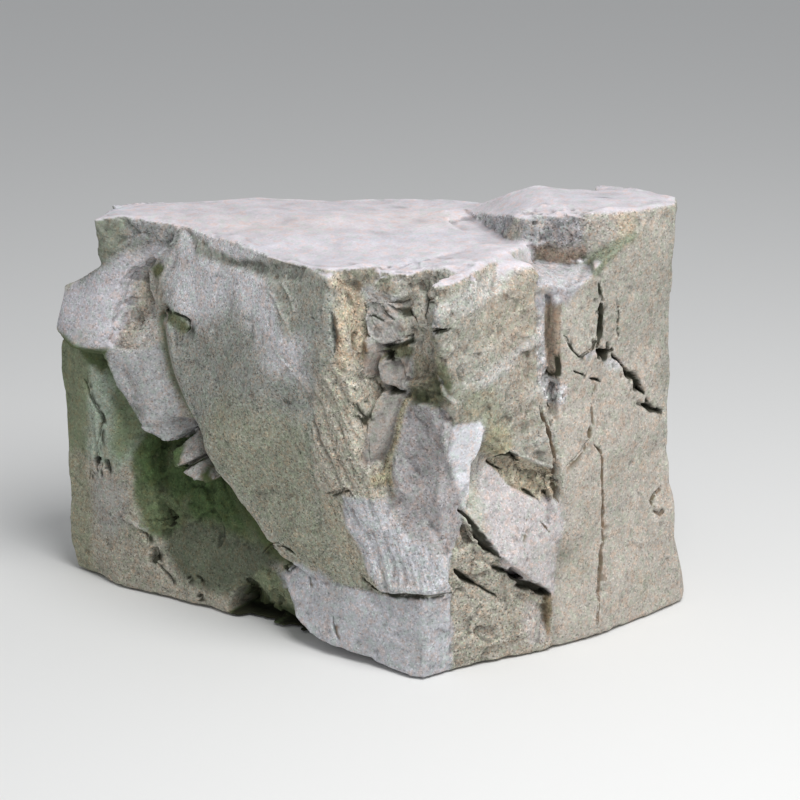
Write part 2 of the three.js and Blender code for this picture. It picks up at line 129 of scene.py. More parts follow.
# ---- noise ----
def scatter(cell, seed):
    """A number between -1 and 1 for each whole-numbered cell, always the same for the same cell."""
    x, y, z = cell.T  # mixed with large odd numbers, so that no pattern is left
    mixed = (x * 73856093) ^ (y * 19349663) ^ (z * 83492791) ^ (seed * 2654435761)
    mixed = (mixed ^ (mixed >> 13)) * 1274126177 & 0xFFFFFFFF
    mixed = (mixed ^ (mixed >> 15)) * 2246822519 & 0xFFFFFFFF
    return ((mixed ^ (mixed >> 13)) & 0xFFFF) / 32767.5 - 1


def waves(points, size, seed):
    """Smooth noise between -1 and 1 at each point; size is how far apart its crests are, in mm."""
    cell = points / np.asarray(size, float)
    base = np.floor(cell).astype(np.int64)
    part = cell - base
    part = part * part * (3 - 2 * part)
    total = np.zeros(len(points))
    for corner in product((0, 1), repeat=3):
        total += scatter(base + corner, seed) * np.prod(np.where(corner, part, 1 - part), axis=1)
    return total


def turned(points, turn=0.7):
    """The points seen from a turned set of axes, so that the noise's own grid doesn't show."""
    c, s = math.cos(turn), math.sin(turn)
    return points @ np.array([[c, s, 0], [-s * c, c * c, s], [s * s, -s * c, c]])


def layers(points, size, count, seed):
    """Layers of waves, each half as large and half as strong as the one before."""
    total = np.zeros(len(points))
    for n in range(count):
        total += waves(turned(points, 0.7 + n), size / 2**n, seed + n) / 2**n
    return total


def flakes(points, size, seed):
    """Broken stone: every cell is one flat flake with its own height and tilt."""
    cell = turned(points) / size
    base = np.floor(cell).astype(np.int64)
    nearest = np.full(len(points), np.inf)
    height = np.zeros(len(points))
    for corner in product((-1, 0, 1), repeat=3):
        spot = base + corner
        offset = cell - spot - 0.5 - 0.45 * np.stack([scatter(spot, seed + n) for n in range(3)], axis=1)
        tilt = np.stack([scatter(spot, seed + 3 + n) for n in range(3)], axis=1)
        distance = (offset**2).sum(axis=1)
        here = distance < nearest
        nearest[here] = distance[here]
        height[here] = ((offset * tilt).sum(axis=1) + 0.5 * scatter(spot, seed + 6))[here]
    return height


def step(low, high, value):
    """0 below low, 1 above high, smooth between them."""
    t = np.clip((value - low) / (high - low), 0, 1)
    return t * t * (3 - 2 * t)


# ---- the skin's mesh ----
def only(piece):
    """Selects one piece and nothing else."""
    bpy.ops.object.select_all(action="DESELECT")
    piece.select_set(True)
    bpy.context.view_layer.objects.active = piece


def finished_with(piece, kind, **settings):
    """Adds a modifier to a piece and applies it."""
    only(piece)
    modifier = piece.modifiers.new(kind.title(), kind)
    for name, value in settings.items():
        setattr(modifier, name, value)
    bpy.ops.object.modifier_apply(modifier=modifier.name)


def copy_of_solid():
    """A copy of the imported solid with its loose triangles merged."""
    only(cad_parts["boulder"])
    bpy.ops.object.duplicate()
    piece = bpy.context.object
    piece.name = "boulder_skin"
    bpy.ops.object.mode_set(mode="EDIT")
    bpy.ops.mesh.select_all(action="SELECT")
    bpy.ops.mesh.remove_doubles(threshold=MERGED_WITHIN * MM)
    bpy.ops.object.mode_set(mode="OBJECT")
    piece.data.materials.clear()
    return piece


def points_of(piece):
    """The piece's points, in mm."""
    points = np.empty(len(piece.data.vertices) * 3)
    piece.data.vertices.foreach_get("co", points)
    return points.reshape(-1, 3) / MM


def normals_of(piece):
    """Which way the skin faces at each point."""
    normals = np.empty(len(piece.data.vertices) * 3)
    piece.data.vertex_normals.foreach_get("vector", normals)
    return normals.reshape(-1, 3)


def move_to(piece, points):
    """Puts the piece's points at these places, in mm."""
    piece.data.vertices.foreach_set("co", (points * MM).ravel())
    piece.data.update()


def edges_of(piece):
    """The two points of each edge, by number."""
    edges = np.empty(len(piece.data.edges) * 2, dtype=np.int64)
    piece.data.edges.foreach_get("vertices", edges)
    return edges.reshape(-1, 2)


def relaxed(values, edges, times, strength=0.5):
    """The values of the points after each has moved towards the mean of its neighbours' a few times."""
    near, far = edges.T
    count = np.maximum(np.bincount(edges.ravel(), minlength=len(values)), 1)[:, None]
    for _ in range(times):
        sums = [
            np.bincount(near, column[far], len(values)) + np.bincount(far, column[near], len(values))
            for column in values.T
        ]
        values = values + strength * (np.stack(sums, axis=1) / count - values)
    return values


def soften(piece):
    """Takes the flat cuts off the broad faces, and leaves ledges and rims as crisp as they are."""
    points, edges = points_of(piece), edges_of(piece)
    crisp = relaxed(points, edges, 3)
    worn = relaxed(crisp, edges, 55)
    moved = np.linalg.norm(worn - crisp, axis=1)  # where this is a mm or two, there is a ledge or a rim
    edge = relaxed(step(0.9, 2.2, moved)[:, None], edges, 4)
    share = 1 - step(0.15, 0.6, edge)
    move_to(piece, crisp + share * (worn - crisp))


def fit_to_box(piece):
    """Brings the skin back to the solid's own box, with a level underside."""
    points = points_of(piece)
    low, high = points.min(axis=0), points.max(axis=0)
    points = LOW + (points - low) / (high - low) * (HIGH - LOW)
    points[points[:, 2] < LEVEL_BELOW, 2] = 0
    move_to(piece, points)


# ---- lumps added and cut away before the skin is grown ----
def hull(name, corners):
    """A convex lump around some points, in mm."""
    mesh = bpy.data.meshes.new(name)
    mesh.from_pydata([tuple(np.asarray(corner) * MM) for corner in corners], [], [])
    piece = bpy.data.objects.new(name, mesh)
    bpy.context.collection.objects.link(piece)
    only(piece)
    bpy.ops.object.mode_set(mode="EDIT")
    bpy.ops.mesh.select_all(action="SELECT")
    bpy.ops.mesh.convex_hull()
    bpy.ops.object.mode_set(mode="OBJECT")
    return piece


def lump(name, face, root, outer):
    """A lump whose outer points lie on a face, rooted in the stone behind them."""
    return hull(name, [face.place(a, o, u) for a, out, u in outer for o in (out, root)])


def add(stone, *pieces):
    """Joins pieces to the stone; the remesh makes one skin of them."""
    only(stone)
    for piece in pieces:
        piece.select_set(True)
    bpy.ops.object.join()


def cut_away(stone, piece):
    """Takes a piece's form out of the stone."""
    finished_with(stone, "BOOLEAN", operation="DIFFERENCE", object=piece, solver="EXACT")
    bpy.data.objects.remove(piece)


def upright(name, low, top):
    """A lump with upright sides under the points of its top, each (x, y, z)."""
    return hull(name, [(x, y, low) for x, y, _ in top] + top)


# the lumps that fill the stone out: face, root, outer points (along, out, up)
LUMPS = {
    "shelf": (right, ROOT, [
        (228, -12, 648), (262, -6, 636), (298, 4, 632), (330, -8, 642), (350, -28, 656),
        (296, -92, 656), (250, -70, 664), (268, -8, 624), (296, 0, 620),
    ]),
    "alcove_floor": (left, ROOT, [
        (688, -44, 575), (742, -46, 572), (690, -40, 460), (742, -44, 460), (700, -44, 520),
    ]),
    "alcove_side": (left, ROOT, [
        (738, -62, 556), (800, -66, 590), (830, -52, 560), (742, -56, 500), (838, -50, 500),
        (742, -48, 462), (838, -52, 466),
    ]),
    "groove_side": (right, ROOT, [
        (224, -8, 640), (250, -10, 644), (260, -20, 626), (268, -24, 520), (264, -14, 452),
        (224, -7, 450),
    ]),
    "groove_right_side": (right, SHALLOW_ROOT, [
        (268, 2, 620), (298, 4, 630), (267, 5, 560), (298, 10, 560), (269, 9, 500), (298, 12, 500),
        (276, 12, 474), (298, 12, 474),
    ]),
    "groove_foot": (right, ROOT, [
        (208, -6, 476), (252, 2, 470), (204, -2, 400), (257, 14, 400), (212, 1, 362), (258, 18, 362),
    ]),
    "beside_the_scar": (right, ROOT, [
        (238, -1, 356), (259, 19, 366), (234, -10, 312), (262, 19, 310), (240, -6, 284), (262, 16, 284),
    ]),
    "corner_tip": (right, ROOT, [
        (150, -14, 640), (176, -30, 672), (196, -40, 686), (232, -22, 686), (238, -9, 668),
        (238, -8, 540), (200, -10, 540), (158, -8, 580),
    ]),
    "shelf_side": (left, ROOT, [
        (150, -14, 515), (200, -36, 512), (140, 2, 490), (154, 12, 460), (208, -28, 465),
        (164, 24, 420), (226, -24, 420), (178, 28, 380), (250, -18, 380), (206, 28, 346),
        (286, -14, 346),
    ]),
    "valley_top": (left, ROOT, [
        (186, -38, 516), (246, -24, 516), (206, -31, 465), (262, -14, 465), (222, -27, 425),
        (276, -8, 425),
    ]),
    "valley": (left, ROOT, [
        (222, -27, 425), (276, -8, 425), (246, -21, 380), (298, 2, 380), (282, -18, 346),
        (330, 6, 346),
    ]),
    "valley_foot": (left, ROOT, [
        (282, -18, 346), (330, 6, 346), (316, -16, 304), (366, 4, 304), (340, -14, 278), (384, 6, 278),
    ]),
    "alcove_top": (left, ROOT, [
        (690, -24, 650), (712, -34, 652), (738, -48, 636), (696, -46, 682), (744, -60, 682),
        (692, -22, 634),
    ]),
    "ridge_side": (left, ROOT, [
        (694, 14, 462), (704, -2, 462), (692, 22, 430), (703, 2, 430), (697, 22, 396), (705, 8, 396),
    ]),
    "under_the_slab": (right, ROOT, [
        (98, 0, 232), (126, 12, 208), (142, 18, 188), (158, 24, 172), (108, 0, 196), (140, 6, 156),
        (164, 14, 160),
    ]),
    "under_the_slab_right": (right, ROOT, [
        (166, 14, 152), (200, 20, 128), (240, 22, 106), (168, 6, 130), (200, 8, 98), (242, 12, 80),
    ]),
    "rubble": (left, ROOT, [
        (404, -56, 64), (470, -38, 88), (546, -16, 78), (500, -26, 116), (420, -58, 18), (556, -36, 20),
    ]),
}


def fill_and_cut(stone):
    """Cuts the step beside the raised block, and fills the stone out where the solid is too lean."""
    beside = [(140, 60), (170, 96), (188, 88), (242, -70), (250, -96), (190, -100)]
    above = HIGH[2] + 50
    cut_away(stone, upright("beside_raised_block", TABLE + 1, [(x, y, above) for x, y in beside]))
    corner = upright("raised_corner", TABLE - 60, [
        (194, 82, TABLE + 14), (246, -74, TABLE + 46), (262, -95, TABLE + 48), (300, -90, TABLE + 54),
        (300, 80, TABLE + 60),
    ])
    add(stone, corner, *[lump(name, *form) for name, form in LUMPS.items()])


# ---- strokes and patches on the skin ----
WANDER = 2.5  # how far a stroke strays from its path
STROKE_REACH = 45  # how far behind and in front of its path a stroke still marks the skin
NEAR = (-140, 90)  # how far behind and in front of its face a patch still marks the skin
AROUND_END = (-460, 60)  # the same for a patch that goes on around the left end


class Skin:
    """The skin's points, and their places on the two front faces when they were last measured."""

    def __init__(self, piece):
        self.piece = piece
        self.points = points_of(piece)
        self.normals = normals_of(piece)
        self.edges = edges_of(piece)
        self.measure()

    def measure(self):
        """Takes where the points now are as the places that paths and outlines are measured from."""
        self.start = self.points.copy()
        self.on, self.drift, self.jag = {}, {}, {}
        for face in (left, right):
            self.on[face] = face.measures(self.start)
            flat = self.on[face] * (1, 0, 1)  # a crack keeps its course however deep it is cut
            self.drift[face] = np.stack([layers(flat, 34, 2, seed) for seed in (11, 12)], axis=1)
            self.jag[face] = layers(flat, 13, 2, 13)

    def spread(self, face, line, wander, reach=None):
        """How far each point is from a line over the face, in mm, and which share of the line it is at.

        The line's points are (along, out, up)."""
        place = self.on[face][:, (0, 2)] + wander * self.drift[face]
        nearest, progress = np.full(len(place), np.inf), np.zeros(len(place))
        for n, ((a0, o0, u0), (a1, o1, u1)) in enumerate(zip(line, line[1:])):
            run = np.array((a1 - a0, u1 - u0), float)
            offset = place - (a0, u0)
            share = np.clip(offset @ run / (run @ run), 0, 1)
            distance = np.hypot(*(offset - share[:, None] * run).T)
            if reach:
                distance[np.abs(self.on[face][:, 1] - o0 - share * (o1 - o0)) > reach] = np.inf
            closer = distance < nearest
            nearest[closer], progress[closer] = distance[closer], (n + share[closer]) / (len(line) - 1)
        return nearest, progress

    def stroke(self, face, path, width, ragged=0.4, reach=STROKE_REACH, pointed=0.0):
        """1 on the middle of a path over the face, 0 at half its width and past it."""
        distance, progress = self.spread(face, path, WANDER, reach)
        half = 0.5 * width * (1 + ragged * self.jag[face]) * (1 - pointed * (2 * progress - 1) ** 2)
        return np.clip(1 - distance / np.maximum(half, 0.1), 0, 1)

    def crack(self, face, path, width):
        """The stroke of a crack, which is pointed at its ends and uneven in between."""
        return self.stroke(face, path, width, ragged=0.9 if width > 6 else 0.8, pointed=0.65)

    def patch(self, face, outline, soft=5, wander=4, reach=NEAR):
        """1 inside an outline on the face and 0 outside it; its points are (along, up)."""
        place = self.on[face][:, (0, 2)] + wander * self.drift[face]
        inside = np.zeros(len(place), bool)
        for (a0, u0), (a1, u1) in zip(outline, outline[1:] + outline[:1]):
            between = (u0 > place[:, 1]) != (u1 > place[:, 1])
            crossing = a0 + (place[:, 1] - u0) / ((u1 - u0) or 1) * (a1 - a0)
            inside ^= between & (place[:, 0] < crossing)
        rim, _ = self.spread(face, [(a, 0, u) for a, u in outline + outline[:1]], wander)
        depth = self.on[face][:, 1]
        return step(-soft, soft, np.where(inside, rim, -rim)) * ((depth > reach[0]) & (depth < reach[1]))

    def push(self, amount):
        """Moves the skin outwards by so many mm."""
        self.points += self.normals * amount[:, None]

    def cut(self, face, path, width, depth):
        """Carves a steep-sided crack along a path."""
        self.points -= face.out * (depth * step(0, 0.5, self.crack(face, path, width)))[:, None]

    def facet(self, face, outline, corners):
        """Flattens an outlined patch to the plane through three corners, each (along, out, up)."""
        flat = np.array([(along, up, 1) for along, _, up in corners], float)
        slope = np.linalg.solve(flat, [out for _, out, _ in corners])
        along, out, up = self.on[face].T
        level = np.stack([along, up, np.ones(len(up))], axis=1) @ slope
        mask = self.patch(face, outline, soft=2, wander=2, reach=(-110, 40))
        self.points += face.out * (mask * (level - out))[:, None]

    def crest(self, face, path, width, height):
        """Raises a sharp crest along a path."""
        self.push(height * self.stroke(face, path, width))

    def breaks(self, mask, size, height, seed):
        """Breaks the skin into flat flakes where the mask is."""
        here = mask > 0.01
        amount = np.zeros(len(mask))
        amount[here] = mask[here] * height * flakes(self.start[here], size, seed)
        self.push(amount)

    def ribs(self, face, mask, lean, width, height, seed):
        """Fine ribs down the face; lean is how far along it they run for each mm down."""
        here = mask > 0.01
        along, out, up = self.on[face][here].T
        length = math.hypot(1, lean)
        across, down = (along + lean * up) / length, (lean * along - up) / length
        across = across + 0.6 * width * self.drift[face][here, 0]  # so that no rib is quite straight
        amount = np.zeros(len(mask))
        for n in range(2):
            grain = np.stack([across, out / 3, down / 14], axis=1) / (width / 2**n)
            amount[here] += (0.5 - np.abs(waves(grain, 1, seed + n))) * height / 2**n
        self.push(amount * mask)

    def calm(self, mask, times):
        """Smooths the skin where the mask is."""
        self.points += mask[:, None] * (relaxed(self.points, self.edges, times) - self.points)

    def proud(self, times):
        """How far each point stands out of the skin around it; more times take in a wider part of it."""
        return ((self.points - relaxed(self.points, self.edges, times)) * self.normals).sum(axis=1)

    def keep(self):
        """Puts the points back on the piece."""
        move_to(self.piece, self.points)


# ---- cracks: face, width, depth, path ----
CRACKS = {
    "end column, upper": (left, 8, 16, [(58, 5, 384), (66, 7, 376), (76, 7, 352), (88, 6, 334)]),
    "end column, lower": (left, 11, 20, [(88, 6, 334), (95, 7, 318), (90, 8, 284), (86, 6, 274)]),
    "end column, tail": (left, 5, 8, [(86, 6, 274), (80, 4, 258), (88, 6, 244)]),
    "end column, hole": (left, 24, 26, [(96, 7, 236), (106, 7, 222)]),
    "end column, drip": (left, 9, 16, [(92, 6, 230), (94, 6, 205)]),
    "end column, hair": (left, 4, 6, [(62, 0, 214), (58, 0, 190)]),
    "shelf, below": (left, 6, 12, [(255, -15, 304), (265, -25, 312), (277, -42, 322), (285, -40, 328)]),
    "between the blocks": (left, 6, 12, [(279, -17, 259), (292, -26, 270), (309, -32, 280)]),
    "slab, pit": (left, 12, 12, [(206, -50, 530), (222, -36, 536), (238, -26, 536)]),
    "slab, pit's arc": (left, 6, 7, [
        (251, -21, 533), (277, -14, 535), (293, -13, 531), (296, -11, 518), (285, -11, 504),
    ]),
    "slab, right edge": (left, 7, 8, [(662, 39, 622), (664, 40, 590), (665, 40, 556)]),
    "hollow, arc": (left, 6, 8, [(207, -20, 140), (222, -40, 134), (234, -42, 142)]),
    "hollow's ledge": (left, 8, 12, [(186, 3, 124), (197, 5, 112), (200, 5, 100)]),
    "foot, hollow": (left, 16, 14, [(203, 2, 58), (212, 0, 80), (219, -2, 66)]),
    "foot, crack": (left, 7, 10, [(216, 0, 60), (233, -5, 42), (250, -8, 30)]),
    "foot, nick 1": (left, 6, 8, [(282, -8, 40), (292, -8, 48)]),
    "foot, nick 2": (left, 6, 8, [(305, -8, 52), (318, -8, 46)]),
    "foot, nick 3": (left, 8, 10, [(306, -8, 14), (320, -8, 20)]),
    "ground hollow": (left, 26, 20, [(384, -16, 6), (392, -20, 30), (404, -25, 50)]),
    "ground hollow's sill": (left, 20, 16, [(384, -16, 6), (430, -50, 8), (480, -50, 10), (556, -20, 8)]),
    "arch over the toe": (left, 5, 5, [
        (446, -29, 128), (462, -30, 146), (492, -10, 166), (512, 3, 172), (530, 4, 168), (548, 1, 160),
    ]),
    "arch, under the stone": (left, 5, 5, [(506, -8, 128), (520, -4, 122), (538, 0, 138)]),
    "toe, crack": (left, 6, 8, [(635, 11, 66), (640, 14, 46), (650, 15, 30)]),
    "toe, nick": (left, 4, 5, [(570, 8, 118), (580, 8, 104)]),
    "ledge of the ribbed slope": (left, 7, 9, [
        (690, 3, 150), (740, 8, 138), (772, 8, 138), (805, -2, 142), (838, -30, 146),
    ]),
    "over the ribbed slope": (left, 5, 5, [(628, 17, 292), (664, 21, 308), (681, 24, 316), (690, 19, 302)]),
    "alcove, under the upper facet": (left, 7, 12, [
        (705, -38, 556), (721, -40, 560), (736, -44, 567), (747, -52, 578),
    ]),
    "alcove, hole": (left, 16, 14, [(704, -46, 545), (720, -46, 541), (733, -48, 553)]),
    "alcove, diagonal 1": (left, 4, 3, [(700, -34, 642), (712, -38, 617), (724, -44, 604)]),
    "alcove, diagonal 2": (left, 7, 8, [(720, -50, 630), (734, -54, 615), (750, -60, 604)]),
    "alcove, upright": (left, 8, 8, [(759, -66, 642), (765, -66, 608)]),
    "alcove, under the low facet": (left, 9, 12, [(702, -34, 492), (721, -34, 486), (741, -36, 482)]),
    "alcove, fine crack": (left, 3, 2, [(687, -22, 611), (701, -30, 607), (712, -40, 599)]),
    "alcove, slit": (left, 8, 10, [(806, -30, 604), (822, -18, 609), (838, -26, 611)]),
    "alcove, upper slit": (left, 5, 6, [(766, -62, 635), (785, -58, 638), (806, -50, 646)]),
    "ridge, split 1": (left, 5, 5, [(692, -2, 494), (698, -6, 482), (706, -12, 470)]),
    "ridge, split 2": (left, 5, 5, [(690, 14, 470), (697, 6, 446), (702, 6, 436)]),
    "ridge, split 3": (left, 5, 7, [(690, 14, 450), (700, 8, 424)]),
    "scar, lip": (right, 9, 14, [(158, -6, 362), (172, 1, 368), (186, 0, 362), (197, -2, 348)]),
    "scar, left": (right, 6, 6, [(147, -22, 355), (160, -20, 342), (176, -18, 333)]),
    "scar, foot": (right, 6, 7, [(216, -9, 292), (224, -6, 284), (234, -2, 276)]),
    "scar, line": (right, 4, 6, [(240, -4, 316), (258, -2, 308), (272, 2, 304)]),
    "under the pale slab": (right, 15, 14, [
        (76, 2, 282), (90, 4, 258), (106, 6, 232), (118, 8, 216), (132, 14, 200),
    ]),
    "under the pale slab, right": (right, 18, 16, [
        (166, 12, 152), (190, 8, 134), (216, 8, 120), (250, 10, 102),
    ]),
    "over the wedge": (right, 7, 12, [(134, 8, 172), (150, 10, 168), (162, 12, 160)]),
    "lower block, crack": (right, 11, 16, [(70, -6, 180), (86, 0, 164), (106, 4, 144)]),
    "lower block, crack's tail": (right, 5, 8, [(106, 4, 144), (126, 8, 131), (142, 11, 122)]),
    "pale slab, hair 1": (right, 3, 3, [(204, 8, 257), (198, 16, 232), (184, 25, 213)]),
    "pale slab, hair 2": (right, 3, 3, [(234, 14, 237), (248, 20, 215)]),
    "groove's crack": (right, 5, 12, [(234, -6, 440), (244, -4, 409), (250, 2, 380), (258, 10, 345)]),
    "groove's crack, lower": (right, 4, 11, [
        (257, 12, 346), (262, 12, 312), (266, 14, 290), (266, 16, 266),
    ]),
    "groove, teeth": (right, 6, 8, [(266, -28, 526), (270, -20, 500), (268, -16, 484)]),
    "groove, pebble": (right, 4, 7, [(245, -11, 464), (250, -12, 453), (259, -12, 451), (267, -12, 457)]),
    "groove, pebble's foot": (right, 5, 7, [(256, -11, 444), (268, -11, 430)]),
    "steps, top": (right, 6, 9, [(356, 6, 636), (362, 7, 606)]),
    "steps, upper": (right, 6, 12, [(364, 8, 600), (363, 8, 566)]),
    "steps, cleft": (right, 14, 15, [(363, 8, 580), (358, 9, 556), (350, 12, 524)]),
    "steps, side": (right, 4, 7, [(352, 12, 552), (346, 14, 536), (333, 16, 523)]),
    "steps, pit": (right, 26, 24, [(350, 12, 517), (372, 11, 510), (396, 10, 513)]),
    "steps, middle": (right, 8, 14, [(392, 6, 508), (424, 2, 474), (440, 0, 452)]),
    "steps, lower": (right, 17, 18, [(428, 2, 466), (450, 0, 441), (474, -2, 418)]),
    "steps, thin": (right, 7, 10, [(470, -2, 422), (482, -4, 402), (490, -4, 386)]),
    "steps, end": (right, 11, 15, [(482, -4, 391), (504, -5, 380), (528, -8, 369)]),
    "steps, left arm": (right, 5, 8, [(300, 16, 492), (326, 15, 481)]),
    "steps, left arm's end": (right, 7, 9, [(342, 12, 472), (367, 10, 459)]),
    "steps, hair": (right, 3, 4, [(280, 10, 557), (297, 14, 529), (309, 16, 515), (333, 16, 523)]),
    "dashes": (right, 3, 4, [(398, 10, 596), (400, 10, 555), (408, 8, 530), (398, 10, 516)]),
    "seam's head": (right, 8, 9, [(340, 17, 386), (337, 18, 368)]),
    "seam, upper": (right, 4, 3, [(352, 12, 468), (347, 14, 430), (342, 16, 392)]),
    "seam, fork": (right, 4, 5, [(348, 14, 352), (358, 14, 338), (364, 14, 324)]),
    "seam": (right, 5, 7, [
        (358, 14, 344), (364, 14, 322), (368, 13, 290), (374, 11, 245), (377, 9, 200), (375, 9, 165),
        (368, 14, 130), (360, 22, 100), (354, 28, 69), (350, 34, 20),
    ]),
    "seam, branch": (right, 4, 4, [(277, 26, 328), (300, 24, 338), (320, 22, 350), (336, 18, 370)]),
    "right end, arc": (right, 5, 7, [(527, 4, 229), (506, 6, 219), (500, 7, 208), (506, 6, 200)]),
    "right end, arc's foot": (right, 5, 7, [(505, 7, 189), (522, 7, 180), (529, 7, 188)]),
}

# ---- crests: face, width, height, path ----
CRESTS = {
    "ridge up to the table": (left, 10, 7, [
        (252, -58, 682), (248, -49, 674), (241, -49, 662), (232, -51, 652),
    ]),
    "shoulder's edge": (left, 11, 5, [
        (236, -54, 657), (216, -45, 641), (195, -40, 624), (158, -28, 596), (146, -16, 575), (140, 2, 535),
        (139, 8, 500),
    ]),
    "raised block's edge": (right, 9, 3, [(300, -108, 690), (306, -113, 742)]),
    "slab, streak 1": (left, 7, 2.5, [(510, 15, 627), (536, 22, 604), (563, 31, 584)]),
    "slab, streak 2": (left, 7, 2.5, [(537, 12, 645), (560, 20, 628), (576, 26, 606)]),
    "slab, streak 3": (left, 8, 2.5, [(530, 20, 546), (570, 30, 512), (606, 36, 476)]),
    "hollow's ledge": (left, 13, 7, [(150, 8, 140), (168, 6, 138), (188, 3, 128)]),
    "alcove, blade": (left, 8, 5, [(684, -2, 612), (688, -12, 592), (692, -20, 573), (698, -28, 552)]),
    "alcove, tooth": (left, 8, 6, [(812, -44, 530), (826, -46, 505), (842, -48, 480)]),
    "scar, lip": (right, 7, 5, [(150, -6, 362), (172, 1, 377), (197, -3, 357), (256, 4, 330)]),
    "right block, fine line": (right, 4, 1.2, [(370, 21, 227), (406, 17, 224), (460, 8, 232)]),
}

# the soft valley between the shelf and the slab
VALLEY = [
    (196, -44, 515), (210, -34, 500), (226, -24, 455), (246, -16, 415), (268, -16, 388), (296, -16, 352),
    (333, -22, 318), (348, -14, 290),
]

# the block at the front corner
CORNER_BLOCK = [
    (8, 700), (230, 710), (262, 650), (245, 600), (240, 500), (236, 450), (262, 366), (200, 372),
    (172, 374), (145, 357), (125, 379), (115, 426), (100, 447), (60, 441), (44, 488), (50, 515),
    (22, 586),
]

# ---- areas: face, outline, how far behind and in front of the face it reaches ----
AREAS = {
    "end wall": (left, (-260, 30), [
        (40, 560), (88, 594), (126, 623), (168, 647), (195, 658), (232, 652), (245, 670), (256, 688),
        (256, 700), (40, 700),
    ]),
    "shoulder": (left, (-250, 90), [
        (-40, 544), (10, 546), (45, 572), (86, 594), (126, 623), (168, 647), (195, 658), (233, 651),
        (214, 626), (163, 590), (150, 565), (141, 533), (147, 493), (129, 463), (85, 460), (31, 472),
        (-40, 480),
    ]),
    "bowl": (left, NEAR, [
        (143, 575), (136, 535), (134, 496), (131, 474), (144, 462), (174, 458), (190, 461), (200, 479),
        (199, 504), (186, 530), (176, 560), (177, 598), (198, 622), (192, 626), (155, 595),
    ]),
    "slab's rim": (left, NEAR, [
        (262, 684), (334, 668), (403, 664), (464, 670), (566, 688), (592, 688), (580, 661), (518, 648),
        (433, 648), (366, 646), (290, 646),
    ]),
    "hollow": (left, NEAR, [
        (163, 420), (175, 407), (221, 334), (241, 313), (271, 290), (280, 258), (305, 262), (355, 256),
        (345, 225), (372, 192), (400, 165), (430, 140), (400, 125), (380, 119), (288, 109), (216, 106),
        (191, 123), (161, 174), (150, 240), (168, 300), (178, 371),
    ]),
    "rubble": (left, (-140, 40), [
        (405, 60), (440, 110), (480, 110), (541, 81), (556, 50), (552, 14), (450, 8), (400, 8), (380, 8),
    ]),
    "ridge": (left, NEAR, [
        (658, 682), (690, 680), (684, 640), (683, 577), (695, 511), (698, 436), (716, 372), (724, 334),
        (726, 304), (703, 300), (662, 294), (630, 300), (606, 298), (612, 374), (613, 462), (640, 520),
        (660, 545), (664, 600),
    ]),
    "ridge's foot": (left, NEAR, [
        (606, 298), (662, 296), (660, 250), (690, 190), (739, 146), (700, 146), (650, 174), (619, 245),
    ]),
    "ribbed slope": (left, NEAR, [
        (662, 298), (703, 306), (726, 304), (745, 273), (771, 245), (818, 225), (846, 215), (850, 148),
        (805, 150), (772, 146), (739, 142), (700, 180), (668, 235),
    ]),
    "alcove": (left, (-140, 30), [
        (668, 692), (850, 696), (842, 600), (838, 488), (790, 466), (735, 466), (700, 488), (692, 530),
        (684, 577), (680, 640),
    ]),
    "alcove's wall": (left, (-34, 34), [
        (676, 672), (694, 672), (698, 573), (702, 540), (684, 540), (678, 573),
    ]),
    "alcove's tan ridge": (left, (-140, 34), [
        (744, 476), (764, 474), (758, 430), (748, 370), (732, 320), (712, 330), (722, 368), (736, 414),
    ]),
    "bevel": (right, (-80, 30), [
        (357, 744), (406, 744), (436, 746), (452, 734), (420, 708), (371, 678), (346, 655), (358, 664),
        (356, 706),
    ]),
    "scar": (right, NEAR, [
        (145, 354), (158, 365), (172, 374), (197, 354), (256, 326), (268, 300), (264, 277), (232, 276),
        (192, 303), (158, 337),
    ]),
    "lower block": (right, NEAR, [
        (44, 215), (60, 228), (84, 258), (110, 222), (136, 196), (150, 165), (180, 126), (240, 110),
        (252, 96), (252, 0), (36, 0), (36, 160),
    ]),
    "groove": (right, (-140, 30), [
        (249, 628), (272, 628), (271, 565), (273, 500), (270, 478), (261, 500), (253, 560),
    ]),
    "groove's side": (right, (-140, 30), [
        (232, 650), (248, 636), (249, 600), (253, 560), (260, 510), (264, 488), (284, 470), (280, 440),
        (258, 436), (240, 452), (236, 500), (234, 560),
    ]),
    "notch wall": (right, (-130, -15), [
        (290, 655), (290, 745), (368, 748), (358, 706), (368, 668), (354, 655),
    ]),
    "notch's left wall": (right, (-310, -90), [(336, 694), (336, 716), (308, 748), (288, 744), (276, 688)]),
}


def area(skin, name, **how):
    """The patch of an area; how says how soft its rim is."""
    face, reach, outline = AREAS[name]
    return skin.patch(face, outline, reach=reach, **how)


def fine_cells_near_cracks(piece):
    """Halves the skin's cells beside the cracks and crests, so that they can be narrow."""
    skin = Skin(piece)
    near = np.zeros(len(skin.points), bool)
    for face, width, _, path in [*CRACKS.values(), *CRESTS.values()]:
        distance, _ = skin.spread(face, path, WANDER, STROKE_REACH)
        near |= distance < 0.7 * width + 4
    corners = np.empty(len(piece.data.polygons) * 4, dtype=np.int64)
    piece.data.polygons.foreach_get("vertices", corners)
    chosen = near[corners].reshape(-1, 4).any(axis=1)
    only(piece)
    bpy.ops.object.mode_set(mode="EDIT")
    bpy.ops.mesh.select_all(action="DESELECT")
    bpy.ops.mesh.select_mode(type="FACE")
    bpy.ops.object.mode_set(mode="OBJECT")
    piece.data.polygons.foreach_set("select", chosen)
    bpy.ops.object.mode_set(mode="EDIT")
    bpy.ops.mesh.subdivide(number_cuts=1)
    bpy.ops.object.mode_set(mode="OBJECT")


